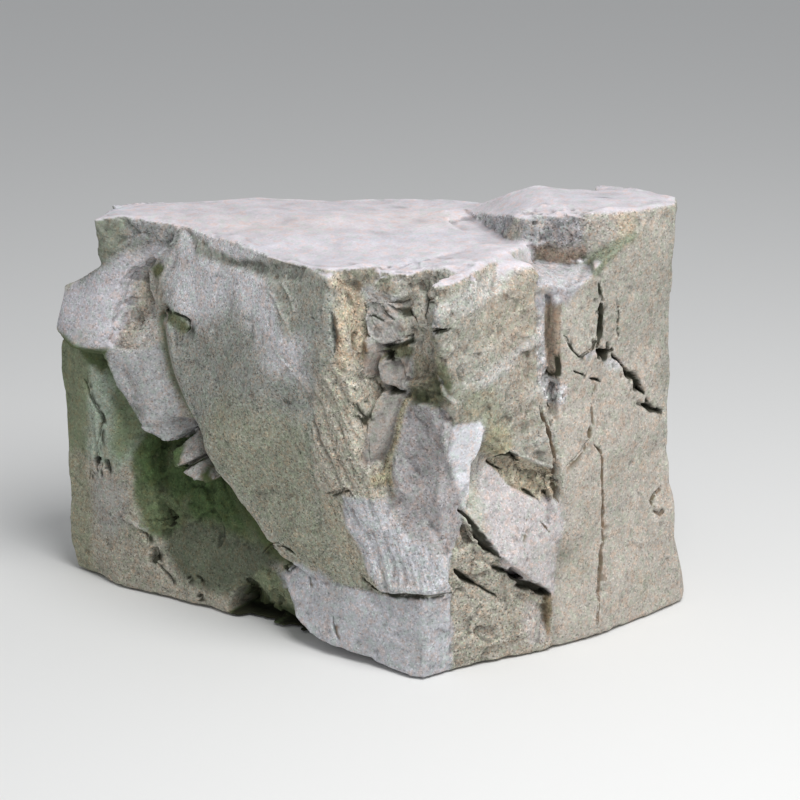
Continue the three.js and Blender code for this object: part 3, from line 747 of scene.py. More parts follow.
# the shelf, and the bowl over it
SHELF_AND_BOWL = [
    (118, 560), (118, 500), (95, 420), (95, 330), (150, 280), (330, 270), (330, 330), (290, 370),
    (262, 400), (240, 430), (225, 470), (215, 505), (195, 522), (182, 548), (185, 600), (225, 625),
    (226, 655), (150, 640), (122, 600),
]


def move_shelf(piece):
    """Moves the shelf and the bowl to the right, and what lies behind them less and less."""
    skin = Skin(piece)
    share = skin.patch(left, SHELF_AND_BOWL, soft=30, wander=0, reach=(-400, 90))
    skin.points[:, 0] += SHELF_MOVED * share * step(-190, -90, skin.on[left][:, 1])
    skin.keep()


# ---- flat facets: face, outline, then three corners of the plane ----
FACETS = {
    "upper": (
        left,
        [
            (685, 651), (705, 652), (719, 642), (731, 629), (745, 593), (745, 580), (733, 569), (713, 560),
            (699, 564), (688, 580), (685, 612),
        ],
        [(688, -20, 647), (744, -56, 588), (713, -36, 562)],
    ),
    "low": (
        left,
        [(706, 535), (723, 544), (743, 539), (751, 515), (745, 494), (736, 490), (718, 496), (706, 506)],
        [(707, -36, 538), (747, -52, 528), (736, -34, 492)],
    ),
    "left": (
        left,
        [(688, 576), (700, 565), (703, 547), (700, 525), (693, 501), (688, 506), (688, 539)],
        [(689, -8, 572), (702, -16, 547), (692, -4, 505)],
    ),
    "narrow": (
        left,
        [
            (713, 481), (742, 483), (740, 451), (733, 416), (724, 381), (714, 362), (703, 371), (701, 414),
            (705, 452),
        ],
        [(715, -20, 479), (742, -34, 481), (709, 10, 369)],
    ),
    "white": (
        right,
        [
            (56, 435), (65, 442), (105, 442), (117, 419), (113, 387), (98, 359), (97, 305), (89, 283),
            (78, 288), (73, 320), (61, 359), (53, 382),
        ],
        [(60, -8, 435), (111, 4, 425), (89, -8, 289)],
    ),
}


def wall_groove(skin):
    """The upright groove in the wall between the ridge and the alcove's facets."""
    out = skin.on[left][:, 1]
    return area(skin, "alcove's wall") * step(-8, -2, out) * (1 - step(8, 14, out))


def bands(skin):
    """The leaning bands across the corner block, between -1 and 1: some 17 mm wide and 130 mm long."""
    along, out, up = skin.on[right].T
    return waves(np.stack([(up - 0.25 * along) / 17, out / 60, along / 130], axis=1), 1, 91)


def draw_in_the_ends(skin):
    """Gives the right end a waist, and takes some of the left end's shoulder and foot away."""
    x, _, z = skin.start.T
    waist = step(HIGH[0] - 340, HIGH[0] - 20, x) * step(0, 190, z) * (1 - step(400, 720, z))
    skin.points[:, 0] -= WAIST * waist
    left_end = 1 - step(LOW[0] + 20, LOW[0] + 150, x)
    skin.points[:, 0] += SHOULDER_IN * (left_end * step(425, 480, z))
    skin.points[:, 0] += FOOT_IN * (left_end * (1 - step(240, 420, z)))
    skin.measure()


def weather(skin, side, behind):
    """Wears the skin all over, and breaks the back into broader sheets and steps."""
    skin.push(1.2 * layers(skin.start, 75, 3, 21) * (0.4 + 0.6 * side))
    skin.push(-1.3 * step(0.45, 0.8, layers(skin.start, 17, 2, 31)) * side)
    skin.breaks(behind, 230, 9, 41)
    skin.breaks(behind, 60, 2.5, 43)
    skin.push(behind * 6 * layers(skin.start * (1, 1, 0.5), 90, 4, 42))


def carve_left_face(skin, side):
    """Works from the left end to the alcove; side is a mask of what isn't the top."""
    # the shelf and the shoulder are smooth, and the bowl between them is ribbed and flaked
    skin.calm(skin.patch(left, [(116, 505), (221, 505), (233, 430), (125, 430)], soft=12), 60)
    skin.calm(skin.patch(left, [
        (138, 455), (212, 455), (262, 350), (256, 300), (206, 302), (164, 345),
    ], soft=10), 60)
    skin.calm(area(skin, "shoulder", soft=14) * side, 25)
    skin.calm(skin.patch(left, [(208, 665), (250, 672), (262, 640), (236, 600), (215, 612)], soft=12), 40)
    bowl = area(skin, "bowl", soft=8)
    skin.push(-BOWL_DEEPER * area(skin, "bowl", soft=3))
    skin.breaks(bowl, 26, 3, 51)
    skin.ribs(left, bowl, -0.3, 12, 2.5, 52)
    skin.breaks(area(skin, "end wall") * side, 24, 2.5, 53)
    skin.calm(step(0, 0.6, skin.stroke(left, VALLEY, 60, reach=70)), 30)
    blocks = skin.patch(left, [
        (219, 326), (281, 344), (323, 312), (366, 280), (366, 240), (260, 236), (205, 268),
    ], soft=12)
    skin.points -= left.out * (SMALL_BLOCKS_IN * blocks)[:, None]

    # the slab's rim is broken back, and the hollow under the slab is rough
    rim = area(skin, "slab's rim", soft=7)
    skin.push(-RIM_WORN * rim * side * (0.4 + 0.6 * step(330, 450, skin.on[left][:, 0])))
    skin.breaks(rim * side, 22, 3, 54)
    hollow = area(skin, "hollow", soft=8)
    skin.breaks(hollow, 60, 6, 55)
    skin.breaks(hollow, 20, 2, 56)
    rubble = area(skin, "rubble", soft=8)
    skin.calm(rubble, 12)
    skin.breaks(rubble, 38, 6, 57)

    # the ridge, the alcove beside it, and the flat facets, the last of which is on the right face
    skin.ribs(left, area(skin, "ridge", soft=7), 0.5, 10, 6, 61)
    skin.ribs(left, area(skin, "ridge's foot", soft=12), 0.5, 9, 3.5, 62)
    skin.ribs(left, area(skin, "ribbed slope", soft=6), 0.42, 9, 5.5, 63)
    alcove = area(skin, "alcove", soft=4) * side
    skin.calm(alcove, 6)
    skin.breaks(alcove, 22, 4, 64)
    skin.ribs(left, alcove, 0.6, 8, 2, 65)
    skin.push(-GROOVE_DEPTH * wall_groove(skin))
    for face, outline, corners in FACETS.values():
        skin.facet(face, outline, corners)
    skin.ribs(left, area(skin, "alcove's tan ridge", soft=4), -0.25, 8, 6, 66)


def carve_right_face(skin, side, floor_of_notch):
    """The corner block and its bands, then the scar, the lower block, the groove and the notch."""
    block = skin.patch(right, CORNER_BLOCK, soft=10)
    skin.push(BAND_HEIGHT * block * np.clip(bands(skin), -0.5, 0.8))
    skin.breaks(block, 34, 2.5, 76)
    tip = skin.patch(right, [(150, 720), (238, 720), (240, 670), (200, 650), (140, 680)], soft=14)
    skin.calm(tip, 40)
    scar = area(skin, "scar", soft=3)
    skin.push(-SCAR_DEPTH * scar)
    skin.breaks(scar, 22, 6, 71)
    skin.ribs(right, scar, -0.8, 8, 3, 77)
    skin.breaks(area(skin, "lower block", soft=8), 46, 6, 72)
    skin.ribs(right, area(skin, "groove", soft=3), 0.05, 5, 2.5, 73)
    skin.breaks(area(skin, "groove's side", soft=3), 16, 4, 74)
    skin.calm(floor_of_notch, 10)
    skin.breaks(area(skin, "notch wall", soft=4), 20, 4, 75)
    skin.breaks(floor_of_notch * side, 16, 2, 76)


def chip_edges(skin):
    """Edges that stand proud lose chips here and there."""
    here_and_there = step(0.1, 0.5, layers(skin.start, 26, 2, 81))
    skin.push(-CHIP_DEPTH * step(0.4, 1.2, skin.proud(8)) * here_and_there)
    skin.points = relaxed(skin.points, skin.edges, 1, 0.3)


def carve(piece):
    """Carves the ends, the weathering, the two faces, the crests and the cracks, and chips last."""
    skin = Skin(piece)
    x, y, z = skin.start.T
    side = 1 - step(0.45, 0.8, skin.normals[:, 2])  # 1 on the stone's sides, 0 on its top
    behind = step(0, 0.5, skin.normals[:, 1]) * side
    around_notch = 1 - step(*NOTCH_RADIUS, np.hypot(x - NOTCH_CENTRE[0], y - NOTCH_CENTRE[1]))
    floor_of_notch = step(0, 1, around_notch * step(TABLE - 8, TABLE + 6, z))
    draw_in_the_ends(skin)
    weather(skin, side, behind)
    carve_left_face(skin, side)
    carve_right_face(skin, side, floor_of_notch)
    for face, width, height, path in CRESTS.values():
        skin.crest(face, path, width, height)
    for face, width, depth, path in CRACKS.values():
        skin.cut(face, path, width, depth)
    chip_edges(skin)
    skin.keep()


# ---- colours ----
def shade(red, green, blue):
    """A linear colour from one that is given as a colour chart gives it, from 0 to 255."""
    return (np.array((red, green, blue)) / 255) ** 2.2


class Coat:
    """The colour of each point of the skin, laid on in washes, and how strong its grain and fibre are."""

    def __init__(self, skin, ground):
        self.tint = np.tile(ground, (len(skin.points), 1))
        self.grain = np.ones(len(skin.points))
        self.fibre = np.zeros(len(skin.points))

    def wash(self, colour, mask, grain=None):
        """Lays a colour on where the mask is, and sets how strong the grain is there."""
        mask = np.clip(mask, 0, 1)
        self.tint += mask[:, None] * (colour - self.tint)
        if grain is not None:
            self.grain += mask * (grain - self.grain)

    def glaze(self, factor, mask):
        """Darkens or lightens what is there."""
        self.tint *= (1 + mask * (factor - 1))[:, None]

    def keep(self, piece):
        """Puts the coat on the piece as attributes of its points, which the finish reads."""
        opaque = np.ones(len(self.tint))
        for name, kind, field, numbers in (
            ("tint", "FLOAT_COLOR", "color", np.column_stack([self.tint, opaque])),
            ("grain", "FLOAT", "value", self.grain),
            ("fibre", "FLOAT", "value", self.fibre),
        ):
            attribute = piece.data.attributes.new(name, kind, "POINT")
            attribute.data.foreach_set(field, np.ascontiguousarray(numbers, dtype=np.float32).ravel())


BODY = shade(166, 162, 154)
# painted shade: the black inside the cracks
CRACK_SHADE = shade(46, 47, 36)
CRACK_BROWN = shade(112, 98, 82)
# a crack whose name begins like this is brown
BROWN_CRACKS = ("groove's crack", "slab, right edge", "pale slab", "toe,", "right end", "seam")

# washes, from the first to the last: face, reach, colour, grain, softness of the rim, outline
WASHES = {
    "slab": (left, NEAR, shade(149, 150, 145), 1.3, 5, [
        (262, 640), (290, 655), (366, 655), (433, 660), (518, 668), (580, 684), (655, 680), (664, 621),
        (664, 560), (640, 520), (619, 495), (613, 462), (612, 374), (606, 298), (619, 245), (650, 178),
        (740, 144), (687, 130), (623, 128), (552, 150), (494, 180), (470, 205), (420, 250), (375, 285),
        (354, 310), (297, 368), (256, 430), (229, 500), (210, 570), (213, 606),
    ]),
    "slab, pale above": (left, NEAR, shade(206, 205, 210), 1.0, 35, [
        (230, 700), (214, 600), (250, 520), (330, 540), (400, 590), (470, 560), (520, 500), (600, 500),
        (600, 560), (520, 620), (460, 700),
    ]),
    "slab, green below": (left, NEAR, shade(151, 151, 137), 1.3, 35, [
        (380, 420), (480, 430), (600, 420), (612, 374), (606, 298), (619, 245), (650, 178), (739, 140),
        (623, 120), (546, 140), (440, 220), (360, 300), (333, 350),
    ]),
    "slab, under the rim": (left, NEAR, shade(160, 160, 152), 1.2, 12, [
        (430, 668), (520, 672), (640, 690), (655, 640), (600, 600), (560, 560), (530, 590), (500, 650),
    ]),
    "end column": (left, AROUND_END, shade(153, 161, 149), 0.9, 10, [
        (-60, 490), (133, 456), (163, 420), (178, 371), (166, 300), (150, 240), (128, 228), (60, 232),
        (-60, 245),
    ]),
    "end column, green": (left, AROUND_END, shade(124, 130, 108), 0.7, 8, [
        (-60, 490), (60, 470), (66, 390), (58, 330), (48, 280), (40, 236), (-60, 236),
    ]),
    # dark green under the shoulder's overhang: algae, and painted shade under its lip
    "under the shoulder, algae and painted shade": (left, AROUND_END, shade(84, 94, 68), 0.6, 5, [
        (0, 470), (30, 466), (85, 458), (133, 456), (163, 420), (169, 396), (139, 404), (88, 400),
        (58, 420), (30, 440),
    ]),
    "end column, right side": (left, AROUND_END, shade(120, 130, 106), 0.8, 14, [
        (109, 440), (163, 430), (177, 380), (166, 300), (140, 250), (112, 250), (111, 330), (106, 400),
    ]),
    "foot": (left, AROUND_END, shade(158, 154, 143), 1.2, 8, [
        (-60, 245), (60, 232), (110, 222), (150, 240), (158, 191), (190, 125), (216, 106), (262, 100),
        (330, 118), (380, 119), (384, 60), (380, 0), (-60, 0),
    ]),
    "foot, olive": (left, AROUND_END, shade(146, 145, 128), 1.0, 12, [
        (-60, 250), (40, 236), (46, 160), (50, 60), (56, 0), (-60, 0),
    ]),
    "foot, pale": (left, AROUND_END, shade(154, 152, 147), 1.0, 14, [
        (64, 236), (112, 214), (146, 200), (148, 140), (120, 100), (74, 96), (62, 160),
    ]),
    "hollow's right side": (left, (-160, -8), shade(92, 100, 80), 0.8, 8, [
        (339, 290), (353, 262), (385, 222), (410, 196), (450, 168), (490, 146), (500, 126), (400, 110),
        (330, 130),
    ]),
    "hollow": (left, (-160, 60), shade(97, 107, 81), 0.9, 6, AREAS["hollow"][2]),
    "hollow, deep": (left, (-160, 60), shade(76, 92, 61), 0.9, 16, [
        (159, 424), (179, 402), (221, 334), (241, 313), (271, 290), (290, 262), (346, 252), (356, 230),
        (372, 205), (400, 170), (380, 150), (330, 160), (280, 160), (220, 190), (170, 210), (160, 260),
        (175, 330),
    ]),
    "below the hollow": (left, (-160, 60), shade(98, 102, 88), 1.0, 14, [
        (216, 112), (262, 150), (330, 150), (400, 146), (450, 140), (470, 110), (430, 60), (400, 50),
        (370, 30), (330, 30), (262, 44), (222, 84),
    ]),
    "rubble": (left, (-140, 40), shade(116, 122, 100), 1.0, 6, AREAS["rubble"][2]),
    # the hollow at the ground beside the toe: green, and painted shade deep in it
    "ground hollow": (left, (-160, 60), shade(70, 78, 56), 0.5, 5, [
        (368, 0), (375, 12), (388, 40), (402, 62), (418, 44), (430, 30), (470, 30), (520, 38), (548, 44),
        (562, 14), (568, 0),
    ]),
    "toe": (left, NEAR, shade(177, 177, 182), 0.8, 3, [
        (480, 104), (520, 132), (544, 146), (575, 140), (623, 131), (687, 133), (743, 138), (860, 146),
        (900, 146), (900, 0), (561, 0), (561, 30), (541, 70), (500, 84),
    ]),
    "shelf": (left, NEAR, shade(158, 158, 160), 0.9, 3, [
        (131, 470), (215, 470), (243, 401), (276, 336), (281, 318), (259, 300), (242, 290), (218, 300),
        (203, 316), (169, 365), (153, 388), (118, 440),
    ]),
    "blocks": (left, NEAR, shade(168, 165, 163), 1.0, 3, [
        (269, 300), (279, 323), (295, 312), (317, 290), (351, 276), (362, 262), (352, 250), (301, 250),
        (276, 254),
    ]),
    "shoulder": (left, (-460, 90), shade(187, 185, 191), 0.8, 4, AREAS["shoulder"][2]),
    "bowl": (left, NEAR, shade(168, 166, 163), 1.3, 3, AREAS["bowl"][2]),
    "bowl, brown": (left, NEAR, shade(160, 153, 144), 1.3, 9, [
        (143, 578), (168, 594), (170, 545), (160, 500), (158, 462), (136, 462), (133, 496), (136, 535),
    ]),
    "bowl, green": (left, NEAR, shade(96, 100, 74), 0.8, 5, [
        (172, 608), (190, 616), (210, 606), (202, 590), (182, 588),
    ]),
    "end wall": (left, (-460, 30), shade(150, 150, 150), 1.2, 4, AREAS["end wall"][2]),
    "end wall, green": (left, (-460, 30), shade(132, 135, 124), 0.8, 12, [
        (60, 700), (150, 700), (143, 660), (132, 628), (111, 606), (60, 590),
    ]),
    "end wall's foot": (left, (-460, 0), shade(148, 148, 148), 1.2, 3, [
        (175, 650), (199, 649), (225, 651), (240, 662), (248, 678), (254, 700), (168, 700),
    ]),
    "slab's rim": (left, NEAR, shade(158, 159, 152), 1.0, 8, AREAS["slab's rim"][2]),
    "ridge": (left, NEAR, shade(172, 167, 156), 1.5, 8, AREAS["ridge"][2]),
    "ridge, tan": (left, NEAR, shade(180, 168, 150), 1.5, 6, [
        (655, 685), (682, 684), (676, 600), (682, 540), (668, 520), (662, 560), (664, 620),
    ]),
    "ridge's foot": (left, NEAR, shade(166, 162, 147), 1.3, 14, AREAS["ridge's foot"][2]),
    "ribbed slope": (left, NEAR, shade(184, 184, 189), 1.0, 5, AREAS["ribbed slope"][2]),
    "alcove": (left, (-160, 40), shade(166, 166, 165), 1.2, 4, AREAS["alcove"][2]),
    "alcove, lip": (left, (-160, 40), shade(136, 132, 122), 1.2, 5, [
        (655, 700), (850, 700), (846, 660), (800, 646), (720, 648), (690, 660), (668, 656),
    ]),
    "alcove, shadow": (left, (-160, 0), shade(104, 104, 86), 0.7, 5, [
        (694, 552), (722, 564), (744, 578), (756, 560), (748, 540), (722, 548), (700, 530), (692, 540),
    ]),
    "alcove, upper facet": (left, (-160, 0), shade(160, 157, 154), 0.7, 2, FACETS["upper"][1]),
    "alcove, low facet": (left, (-160, 0), shade(157, 153, 149), 0.7, 2, FACETS["low"][1]),
    "alcove, left facet": (left, (-160, 10), shade(146, 139, 134), 0.7, 2, FACETS["left"][1]),
    "alcove, narrow facet": (left, (-160, 40), shade(150, 146, 142), 0.7, 2, FACETS["narrow"][1]),
    "alcove, brown side": (left, (-160, 0), shade(134, 129, 116), 1.2, 6, [
        (752, 570), (800, 600), (836, 604), (838, 486), (786, 474), (750, 476), (754, 520),
    ]),
    "alcove, green corner": (left, (-160, 0), shade(103, 104, 86), 0.8, 7, [
        (806, 530), (840, 570), (844, 480), (790, 470), (742, 470), (752, 492), (784, 500),
    ]),
    "alcove's tan ridge": (left, (-160, 40), shade(150, 144, 124), 1.5, 3, AREAS["alcove's tan ridge"][2]),
    "smooth scoop": (left, (-160, 40), shade(160, 157, 159), 1.0, 4, [
        (756, 472), (815, 470), (834, 430), (832, 378), (838, 300), (840, 217), (818, 221), (771, 245),
        (736, 290), (733, 362), (745, 410),
    ]),
    "corner block": (right, (-140, 60), shade(160, 157, 149), 1.1, 5, CORNER_BLOCK),
    "corner block, warm": (right, (-140, 60), shade(161, 154, 144), 1.1, 25, [
        (110, 690), (230, 700), (236, 600), (232, 500), (214, 400), (180, 400), (170, 500), (120, 600),
    ]),
    "corner block, green": (right, (-140, 60), shade(148, 147, 132), 1.1, 22, [
        (76, 500), (130, 496), (150, 460), (176, 400), (156, 374), (134, 384), (108, 436), (72, 450),
    ]),
    "white facet": (right, (-140, 60), shade(208, 208, 214), 0.5, 3, FACETS["white"][1]),
    "pale slab": (right, NEAR, shade(185, 180, 181), 0.8, 3, [
        (84, 300), (104, 335), (145, 354), (167, 330), (192, 303), (232, 274), (266, 276), (284, 240),
        (270, 180), (256, 100), (225, 114), (175, 146), (138, 186), (118, 216), (92, 248),
    ]),
    "pale slab, left": (right, NEAR, shade(172, 172, 162), 1.0, 16, [
        (84, 300), (104, 335), (120, 340), (116, 290), (110, 250), (104, 236), (90, 250),
    ]),
    "scar": (right, NEAR, shade(171, 163, 147), 1.4, 2, AREAS["scar"][2]),
    "over the scar": (right, (-140, 60), shade(156, 152, 130), 1.1, 10, [
        (120, 384), (150, 366), (176, 380), (170, 410), (130, 430),
    ]),
    "lower block": (right, NEAR, shade(162, 157, 147), 1.5, 3, [
        (54, 222), (84, 258), (110, 222), (136, 196), (150, 165), (180, 126), (240, 112), (252, 98),
        (252, 0), (54, 0),
    ]),
    "lower block, pale": (right, NEAR, shade(174, 168, 164), 1.1, 6, [
        (196, 96), (226, 92), (236, 60), (250, 20), (210, 16), (190, 50),
    ]),
    "wedge": (right, NEAR, shade(122, 110, 92), 1.0, 4, [
        (242, 108), (253, 98), (251, 66), (246, 36), (238, 18), (240, 60),
    ]),
    "right block": (right, (-140, 60), shade(176, 170, 162), 0.9, 4, [
        (346, 657), (371, 678), (407, 702), (430, 712), (460, 740), (540, 760), (640, 770), (640, 0),
        (256, 0), (258, 104), (284, 231), (268, 330), (262, 400), (270, 475), (270, 590), (290, 626),
        (329, 643),
    ]),
    "right block, above": (right, (-140, 60), shade(164, 160, 152), 0.9, 40, [
        (310, 640), (371, 678), (430, 712), (560, 740), (640, 740), (640, 500), (480, 500), (400, 530),
        (330, 520), (280, 560),
    ]),
    "right block, edge": (right, (-140, 60), shade(158, 155, 147), 0.9, 14, [
        (506, 760), (640, 760), (640, 380), (518, 380), (512, 560),
    ]),
    "right block, end": (right, (-140, 60), shade(170, 168, 160), 0.9, 25, [
        (530, 420), (640, 420), (640, 300), (540, 300), (510, 360),
    ]),
    "chip left of the steps": (right, (-20, 40), shade(206, 203, 206), 0.6, 2, [
        (309, 516), (327, 520), (349, 519), (345, 511), (327, 511),
    ]),
    "chip right of the steps": (right, (-20, 40), shade(194, 192, 193), 0.8, 3, [
        (376, 498), (404, 497), (424, 480), (410, 470), (386, 480),
    ]),
    "groove": (right, (-160, 30), shade(139, 127, 115), 0.9, 2, AREAS["groove"][2]),
    "groove's side": (right, (-160, 30), shade(190, 188, 190), 1.2, 4, AREAS["groove's side"][2]),
    "shelf, white": (right, (-112, 30), shade(158, 156, 160), 0.7, 4, [
        (232, 660), (262, 664), (300, 656), (360, 662), (346, 654), (325, 643), (298, 626), (284, 612),
        (270, 618), (252, 618), (244, 590), (232, 590),
    ]),
    "notch wall": (right, (-145, -15), shade(147, 146, 149), 1.4, 3, [
        (282, 650), (282, 748), (368, 750), (358, 706), (368, 668), (354, 655),
    ]),
    "notch wall's foot": (right, (-145, -15), shade(125, 113, 103), 1.2, 16, [
        (286, 652), (288, 700), (330, 690), (360, 696), (366, 668), (354, 652),
    ]),
    "notch's left wall": (right, (-310, -88), shade(160, 160, 164), 1.2, 4, AREAS["notch's left wall"][2]),
    "table's corner": (right, (-125, -60), shade(198, 194, 199), 0.4, 5, [
        (236, 700), (236, 664), (290, 664), (296, 690), (290, 700),
    ]),
    "bevel": (right, (-80, 30), shade(160, 155, 149), 1.2, 4, [
        (357, 748), (406, 756), (460, 764), (455, 728), (420, 708), (371, 678), (346, 655), (358, 664),
        (356, 706),
    ]),
    "bevel, tan dip": (right, (-120, 30), shade(170, 160, 146), 1.2, 5, [
        (402, 706), (406, 744), (440, 762), (462, 762), (446, 742), (434, 720),
    ]),
}


def lay_washes(skin, coat):
    """Lays the table's washes; those on the left face fade out raggedly towards the back."""
    near = step(-420, -180, skin.on[left][:, 1] + 40 * layers(skin.start, 110, 3, 96))
    for face, reach, colour, grain, soft, outline in WASHES.values():
        mask = skin.patch(face, outline, soft=soft, reach=reach)
        coat.wash(colour, mask * near if face is left else mask, grain)


def band_corner_block(skin, coat):
    """Pale and brown bands, which go with the ones that are carved."""
    band = bands(skin)
    block = skin.patch(right, CORNER_BLOCK, soft=10)
    coat.wash(shade(190, 188, 186), block * step(0.2, 0.8, band) * 0.7)
    coat.wash(shade(151, 147, 133), block * step(0.2, 0.8, -band) * 0.45)


def grow_algae_and_paint_shade(skin, coat):
    """Green lines and patches where water runs or stands, at the bevel, the valley, the hollow and the pit,
    with painted shade at the bevel and under the blocks.
    """
    # a green line along the foot of the bevel: algae, and painted shadow where the bevel folds in
    bevel_shade_line = skin.stroke(right, [(344, 6, 656), (371, 2, 680), (407, 6, 702), (428, 4, 712)], 22)
    coat.wash(shade(112, 120, 100), step(0, 0.8, bevel_shade_line) * 0.8)
    strip = skin.stroke(left, VALLEY, 26, reach=60)
    coat.wash(shade(118, 123, 106), step(0, 0.9, strip), 0.8)
    edge = skin.stroke(left, [(389, 0, 212), (419, 0, 178), (458, 0, 150), (500, 0, 136)], 46, reach=60)
    coat.wash(shade(94, 100, 74), step(0, 0.8, edge), 0.8)
    # a dark green band under the small blocks: algae, and painted shadow under them
    painted_shadow_fringe = skin.stroke(left, [
        (330, -30, 262), (356, -20, 248), (376, -30, 220), (400, -35, 190), (440, -35, 164),
        (470, -25, 150),
    ], 40, reach=70)
    coat.wash(shade(78, 88, 60), step(0, 0.8, painted_shadow_fringe), 0.5)
    mottled = area(skin, "hollow", soft=20) * step(0.0, 1.0, layers(skin.start, 26, 3, 95))
    coat.wash(shade(108, 108, 92), mottled * 0.6, 1.0)
    pit = skin.patch(left, [
        (212, 540), (250, 538), (280, 532), (290, 518), (272, 502), (245, 508), (222, 520),
    ], soft=6)
    coat.wash(shade(104, 110, 88), pit)


def shade_ledge_and_alcove(skin, coat):
    """The pale ledge under the notch, then the groove, the edge and the moss of the alcove."""
    ledge = skin.patch(right, [
        (226, 668), (374, 668), (372, 640), (280, 606), (226, 620),
    ], reach=(-112, 30))
    coat.wash(shade(174, 172, 176), ledge * step(0.3, 0.7, skin.normals[:, 2]), 0.7)
    coat.wash(shade(120, 108, 92), wall_groove(skin), 0.8)
    out = skin.on[left][:, 1]
    wall_edge = area(skin, "alcove's wall") * step(14, 20, out) * (1 - step(26, 34, out))
    coat.wash(shade(164, 162, 158), wall_edge, 0.8)
    moss = skin.patch(left, [
        (757, 463), (800, 468), (835, 478), (842, 520), (826, 524), (816, 502), (790, 489), (757, 482),
    ], soft=6, reach=(-90, -20))
    coat.wash(shade(70, 75, 56), moss * step(-0.5, 0.5, layers(skin.start, 12, 2, 94)) * 0.85, 0.6)


def bleach_top(skin, coat, top):
    """Long pale and bluish patches; the raised block is a little darker than the table."""
    coat.wash(shade(196, 191, 197), top, 0.22)
    streaks = layers(skin.start * (0.35, 1, 1), 90, 3, 92)
    coat.wash(shade(192, 193, 203), top * step(0.15, 0.9, streaks) * 0.8)
    coat.wash(shade(203, 195, 197), top * step(0.15, 0.9, -streaks) * 0.8)
    coat.glaze(0.93, top * step(TABLE + 20, TABLE + 50, skin.start[:, 2]))


def stain_and_shade_hollows(skin, coat, top):
    """Uneven staining, with the hollows darkened as painted shade, and lighter edges."""
    stained = layers(skin.start, 60, 3, 93)
    coat.wash(shade(140, 142, 122), (1 - top) * step(0.3, 1.2, stained) * 0.3)
    coat.glaze(1.08, (1 - top) * step(0.2, 1.0, -stained))
    # painted shade: darker where the skin sinks in, in small and in broad hollows; lighter on edges that
    # stand out
    fine, broad = skin.proud(3), skin.proud(30)
    coat.glaze(0.68, step(0.12, 1.0, -fine))
    coat.glaze(1.14, step(0.15, 0.9, fine))
    coat.glaze(0.74, step(1.0, 5.0, -broad))


def colour_cracks_and_crests(skin, coat):
    """Cracks are dark, the black ones with painted shade in them, and hold hardly any grain; crests are
    worn pale.
    """
    for name, (face, width, _, path) in CRACKS.items():
        colour = CRACK_BROWN if name.startswith(BROWN_CRACKS) else CRACK_SHADE
        coat.wash(colour, step(0.0, 0.35, skin.crack(face, path, width)) * 0.93, 0.3)
    for face, width, _, path in CRESTS.values():
        coat.wash(shade(186, 184, 182), 0.45 * step(0.1, 0.7, skin.stroke(face, path, width)))


def paint(piece):
    """Lays the stone's colours on the finished skin, from the broad ones to the fine ones, with painted
    shade in its cracks and hollows.
    """
    skin = Skin(piece)
    coat = Coat(skin, BODY)
    top = step(0.5, 0.85, skin.normals[:, 2]) * step(TABLE - 30, TABLE - 10, skin.start[:, 2])
    top *= 1 - area(skin, "bevel", soft=6)
    lay_washes(skin, coat)
    band_corner_block(skin, coat)
    grow_algae_and_paint_shade(skin, coat)
    shade_ledge_and_alcove(skin, coat)
    bleach_top(skin, coat, top)
    stain_and_shade_hollows(skin, coat, top)
    colour_cracks_and_crests(skin, coat)
    for name in ("ridge", "ridge's foot", "ribbed slope", "alcove", "alcove's tan ridge"):
        coat.fibre = np.maximum(coat.fibre, area(skin, name, soft=8))
    coat.keep(piece)


# ---- materials ----
# how many of each fit side by side in a metre
GRAINS = 390.0
SAND = 330.0
CLUMPS = 170.0
DENTS = 95.0
RUST_AND_MOSS = 75.0
STAINS = 32.0
STRANDS_ACROSS, STRANDS_DOWN, STRANDS_DEEP = 260, 18, 120
STRAND_LEAN = (0.447, 0.894)  # how far the strands run along the left face, and how far down it
RUSTY, MOSSY = (1.1, 0.93, 0.82), (0.9, 1.0, 0.9)  # what the tint is multiplied by
RELIEF, RELIEF_STRENGTH = 0.002, 0.75  # in metres, and as a share
STONE_ROUGHNESS, STONE_GLOSS = 0.93, 0.25


class Value:
    """Something that varies over a surface; arithmetic on a number adds Math nodes."""

    def __init__(self, finish, socket):
        self.finish = finish
        self.socket = socket

    def beside(self, output):
        """Another output of the same node."""
        return Value(self.finish, self.socket.node.outputs[output])

    def math(self, operation, *terms):
        return self.finish.node("ShaderNodeMath", "Value", dict(enumerate(terms)), operation=operation)

    def __add__(self, other):
        return self.math("ADD", self, other)

    def __sub__(self, other):
        return self.math("SUBTRACT", self, other)

    def __rsub__(self, other):
        return self.math("SUBTRACT", other, self)

    def __mul__(self, other):
        return self.math("MULTIPLY", self, other)

    __radd__ = __add__
    __rmul__ = __mul__

    def ramp(self, low, high):
        """0 below low and 1 above high."""
        sockets = {"Value": self, "From Min": low, "From Max": high}
        return self.finish.node("ShaderNodeMapRange", "Result", sockets, interpolation_type="SMOOTHSTEP")


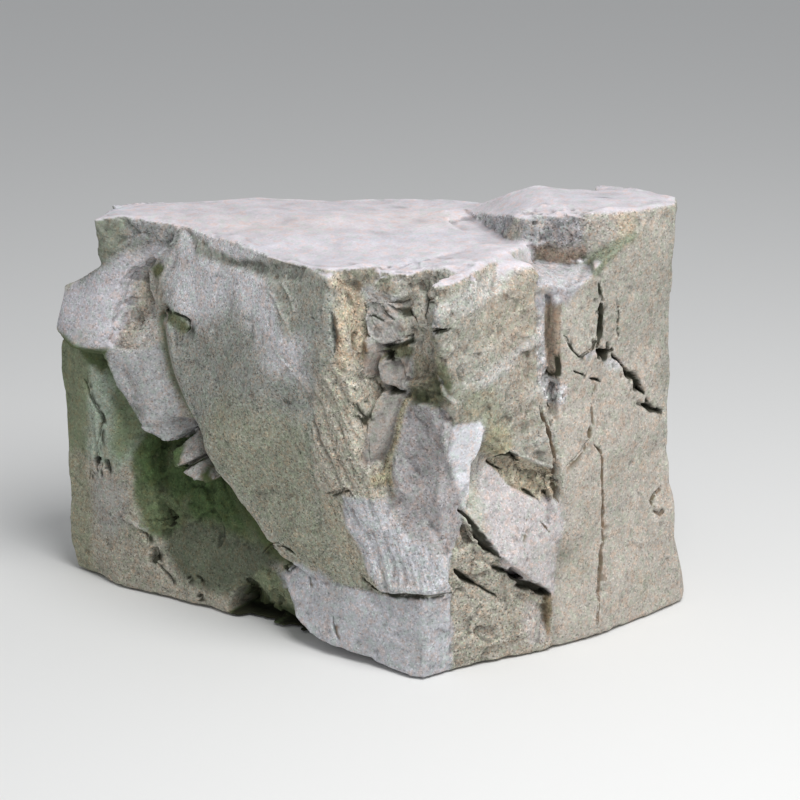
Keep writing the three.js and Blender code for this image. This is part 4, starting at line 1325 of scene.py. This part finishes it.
class Finish:
    """A material in the making."""

    def __init__(self, name):
        self.material = bpy.data.materials.new(name)
        self.material.use_nodes = True
        self.tree = self.material.node_tree
        self.shader = self.tree.nodes["Principled BSDF"]

    def node(self, kind, output, sockets, **settings):
        """Adds a node with its settings and what goes into its sockets, and gives back one output."""
        node = self.tree.nodes.new(kind)
        for name, setting in settings.items():
            setattr(node, name, setting)
        for slot, value in sockets.items():
            self.feed(node.inputs[slot], value)
        return Value(self, node.outputs[output])

    def feed(self, socket, value):
        """Links a value to a socket, or sets the socket to a plain number or colour."""
        if isinstance(value, Value):
            self.tree.links.new(value.socket, socket)
        else:
            socket.default_value = value

    def surface(self, **sockets):
        """Feeds the shader's own sockets, such as Base_Color."""
        for name, value in sockets.items():
            self.feed(self.shader.inputs[name.replace("_", " ")], value)

    def attribute(self, name, output="Fac"):
        return self.node("ShaderNodeAttribute", output, {}, attribute_name=name)

    def noise(self, place, scale, detail=2.0):
        sockets = {"Vector": place, "Scale": scale, "Detail": detail}
        return self.node("ShaderNodeTexNoise", "Fac", sockets)

    def mix(self, share, one, other):
        """A mix of two colours; the sockets go by number, as the node has some for each kind of value."""
        return self.node("ShaderNodeMix", 2, {0: share, 6: one, 7: other}, data_type="RGBA")

    def tinted(self, colour, by):
        return self.node("ShaderNodeVectorMath", "Vector", {0: colour, 1: by}, operation="MULTIPLY")

    def scaled(self, colour, factor):
        return self.node("ShaderNodeVectorMath", "Vector", {0: colour, "Scale": factor}, operation="SCALE")

    def dot(self, vector, axis):
        sockets = {0: vector, 1: tuple(axis)}
        return self.node("ShaderNodeVectorMath", "Value", sockets, operation="DOT_PRODUCT")


def stone_colour(finish, place, grain):
    """The painted colour, broken up by grains of sand, rust, moss and small stains."""
    grains = finish.node("ShaderNodeTexVoronoi", "Color", {"Vector": place, "Scale": GRAINS})
    lot = finish.node("ShaderNodeSeparateColor", "Red", {0: grains})
    kind = lot.beside("Green")
    clumps = finish.noise(place, CLUMPS, 3.0)
    stains = finish.noise(place, STAINS, 4.0)
    darkest, palest = 1 - lot.ramp(0.05, 0.12), lot.ramp(0.9, 0.96)
    speckle = (lot - 0.5) * 0.4 + (clumps - 0.5) * 0.8 - darkest * 0.2 + palest * 0.2
    light = 1.04 + speckle * grain + (stains - 0.5) * 0.5
    tint = finish.attribute("tint", "Color")
    hue = finish.noise(place, RUST_AND_MOSS, 4.0)
    rusty_grains, rusty_patches = kind.ramp(0.84, 0.9) * grain, hue.ramp(0.52, 0.64)
    mossy_grains, mossy_patches = (1 - kind.ramp(0.1, 0.16)) * grain, 1 - hue.ramp(0.36, 0.48)
    rust = rusty_grains * 0.8 + rusty_patches * 0.6
    moss = mossy_grains * 0.6 + mossy_patches * 0.6
    colour = finish.mix(rust, tint, finish.tinted(tint, RUSTY))
    colour = finish.mix(moss, colour, finish.tinted(tint, MOSSY))
    return finish.scaled(colour, light)


def stone_relief(finish, place, grain):
    """Grains of sand and dents, and fine strands that lean down the left face where the skin is ribbed."""
    level = np.array((*left.along[:2], 0))
    down = level * STRAND_LEAN[0] - (0, 0, STRAND_LEAN[1])
    across = level * STRAND_LEAN[1] + (0, 0, STRAND_LEAN[0])
    strands = finish.node("ShaderNodeCombineXYZ", "Vector", {
        "X": finish.dot(place, across * STRANDS_ACROSS),
        "Y": finish.dot(place, down * STRANDS_DOWN),
        "Z": finish.dot(place, left.out * STRANDS_DEEP),
    })
    strand = finish.noise(strands, 1.0)
    sand = finish.noise(place, SAND)
    dents = finish.noise(place, DENTS, 3.0)
    height = sand * 0.4 * grain + dents * grain * 1.1 + strand * finish.attribute("fibre") * 1.6
    sockets = {"Strength": RELIEF_STRENGTH, "Distance": RELIEF, "Height": height}
    return finish.node("ShaderNodeBump", "Normal", sockets)


def stone_finish():
    """Weathered sandstone."""
    finish = Finish("sandstone")
    place = finish.node("ShaderNodeTexCoord", "Object", {})
    grain = finish.attribute("grain")
    finish.surface(
        Base_Color=stone_colour(finish, place, grain),
        Normal=stone_relief(finish, place, grain),
        Roughness=STONE_ROUGHNESS,
        Specular_IOR_Level=STONE_GLOSS,
    )
    return finish.material


def floor_finish():
    """Plain pale grey."""
    finish = Finish("floor")
    finish.surface(Base_Color=FLOOR_COLOUR, Roughness=FLOOR_ROUGHNESS)
    return finish.material


# ---- the scene ----
def lay_floor():
    """A broad level floor under the stone."""
    bpy.ops.mesh.primitive_plane_add(size=FLOOR_SIZE)
    floor = bpy.context.object
    floor.name = "floor"
    floor.data.materials.append(floor_finish())
    return floor


def aim(piece, target):
    """Turns a lamp or a camera towards a target."""
    direction = Vector(target) - piece.location
    piece.rotation_euler = direction.to_track_quat("-Z", "Y").to_euler()


def hang_lamp():
    """One broad round lamp, high up in front and to the right."""
    bpy.ops.object.light_add(type="AREA", location=LAMP_PLACE)
    light = bpy.context.object
    light.name = "overhead"
    light.data.shape = "DISK"
    light.data.size = LAMP_SIZE
    light.data.energy = LAMP_WATTS
    aim(light, LAMP_TARGET)


def spread_sky():
    """A soft, even sky, which takes the edge off the lamp's shadows."""
    world = bpy.data.worlds.new("soft_sky")
    bpy.context.scene.world = world
    world.use_nodes = True
    sky = world.node_tree.nodes["Background"]
    sky.inputs["Color"].default_value = SKY_COLOUR
    sky.inputs["Strength"].default_value = SKY_STRENGTH


def place_camera():
    """Looks along +Y, from a little above, as a person does who stands in front of the front corner."""
    away = Vector((0, -math.cos(VIEW_TILT), math.sin(VIEW_TILT)))
    bpy.ops.object.camera_add(location=VIEW_TARGET + VIEW_DISTANCE * away)
    view = bpy.context.object
    view.name = "camera"
    view.data.lens = LENS_MM
    view.data.sensor_width = SENSOR_MM
    aim(view, VIEW_TARGET)
    bpy.context.scene.camera = view


stone = copy_of_solid()
fill_and_cut(stone)
finished_with(stone, "REMESH", mode="VOXEL", voxel_size=SKIN_CELL * MM)
soften(stone)
move_shelf(stone)
fine_cells_near_cracks(stone)
carve(stone)
triangles = sum(len(face.vertices) - 2 for face in stone.data.polygons)
finished_with(stone, "DECIMATE", ratio=MOST_TRIANGLES / triangles)
fit_to_box(stone)
bpy.ops.object.shade_smooth()
paint(stone)
stone.data.materials.append(stone_finish())
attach(stone, "root")
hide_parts("boulder")

floor = lay_floor()
hang_lamp()
spread_sky()
place_camera()
bpy.context.scene.view_settings.view_transform = "Standard"
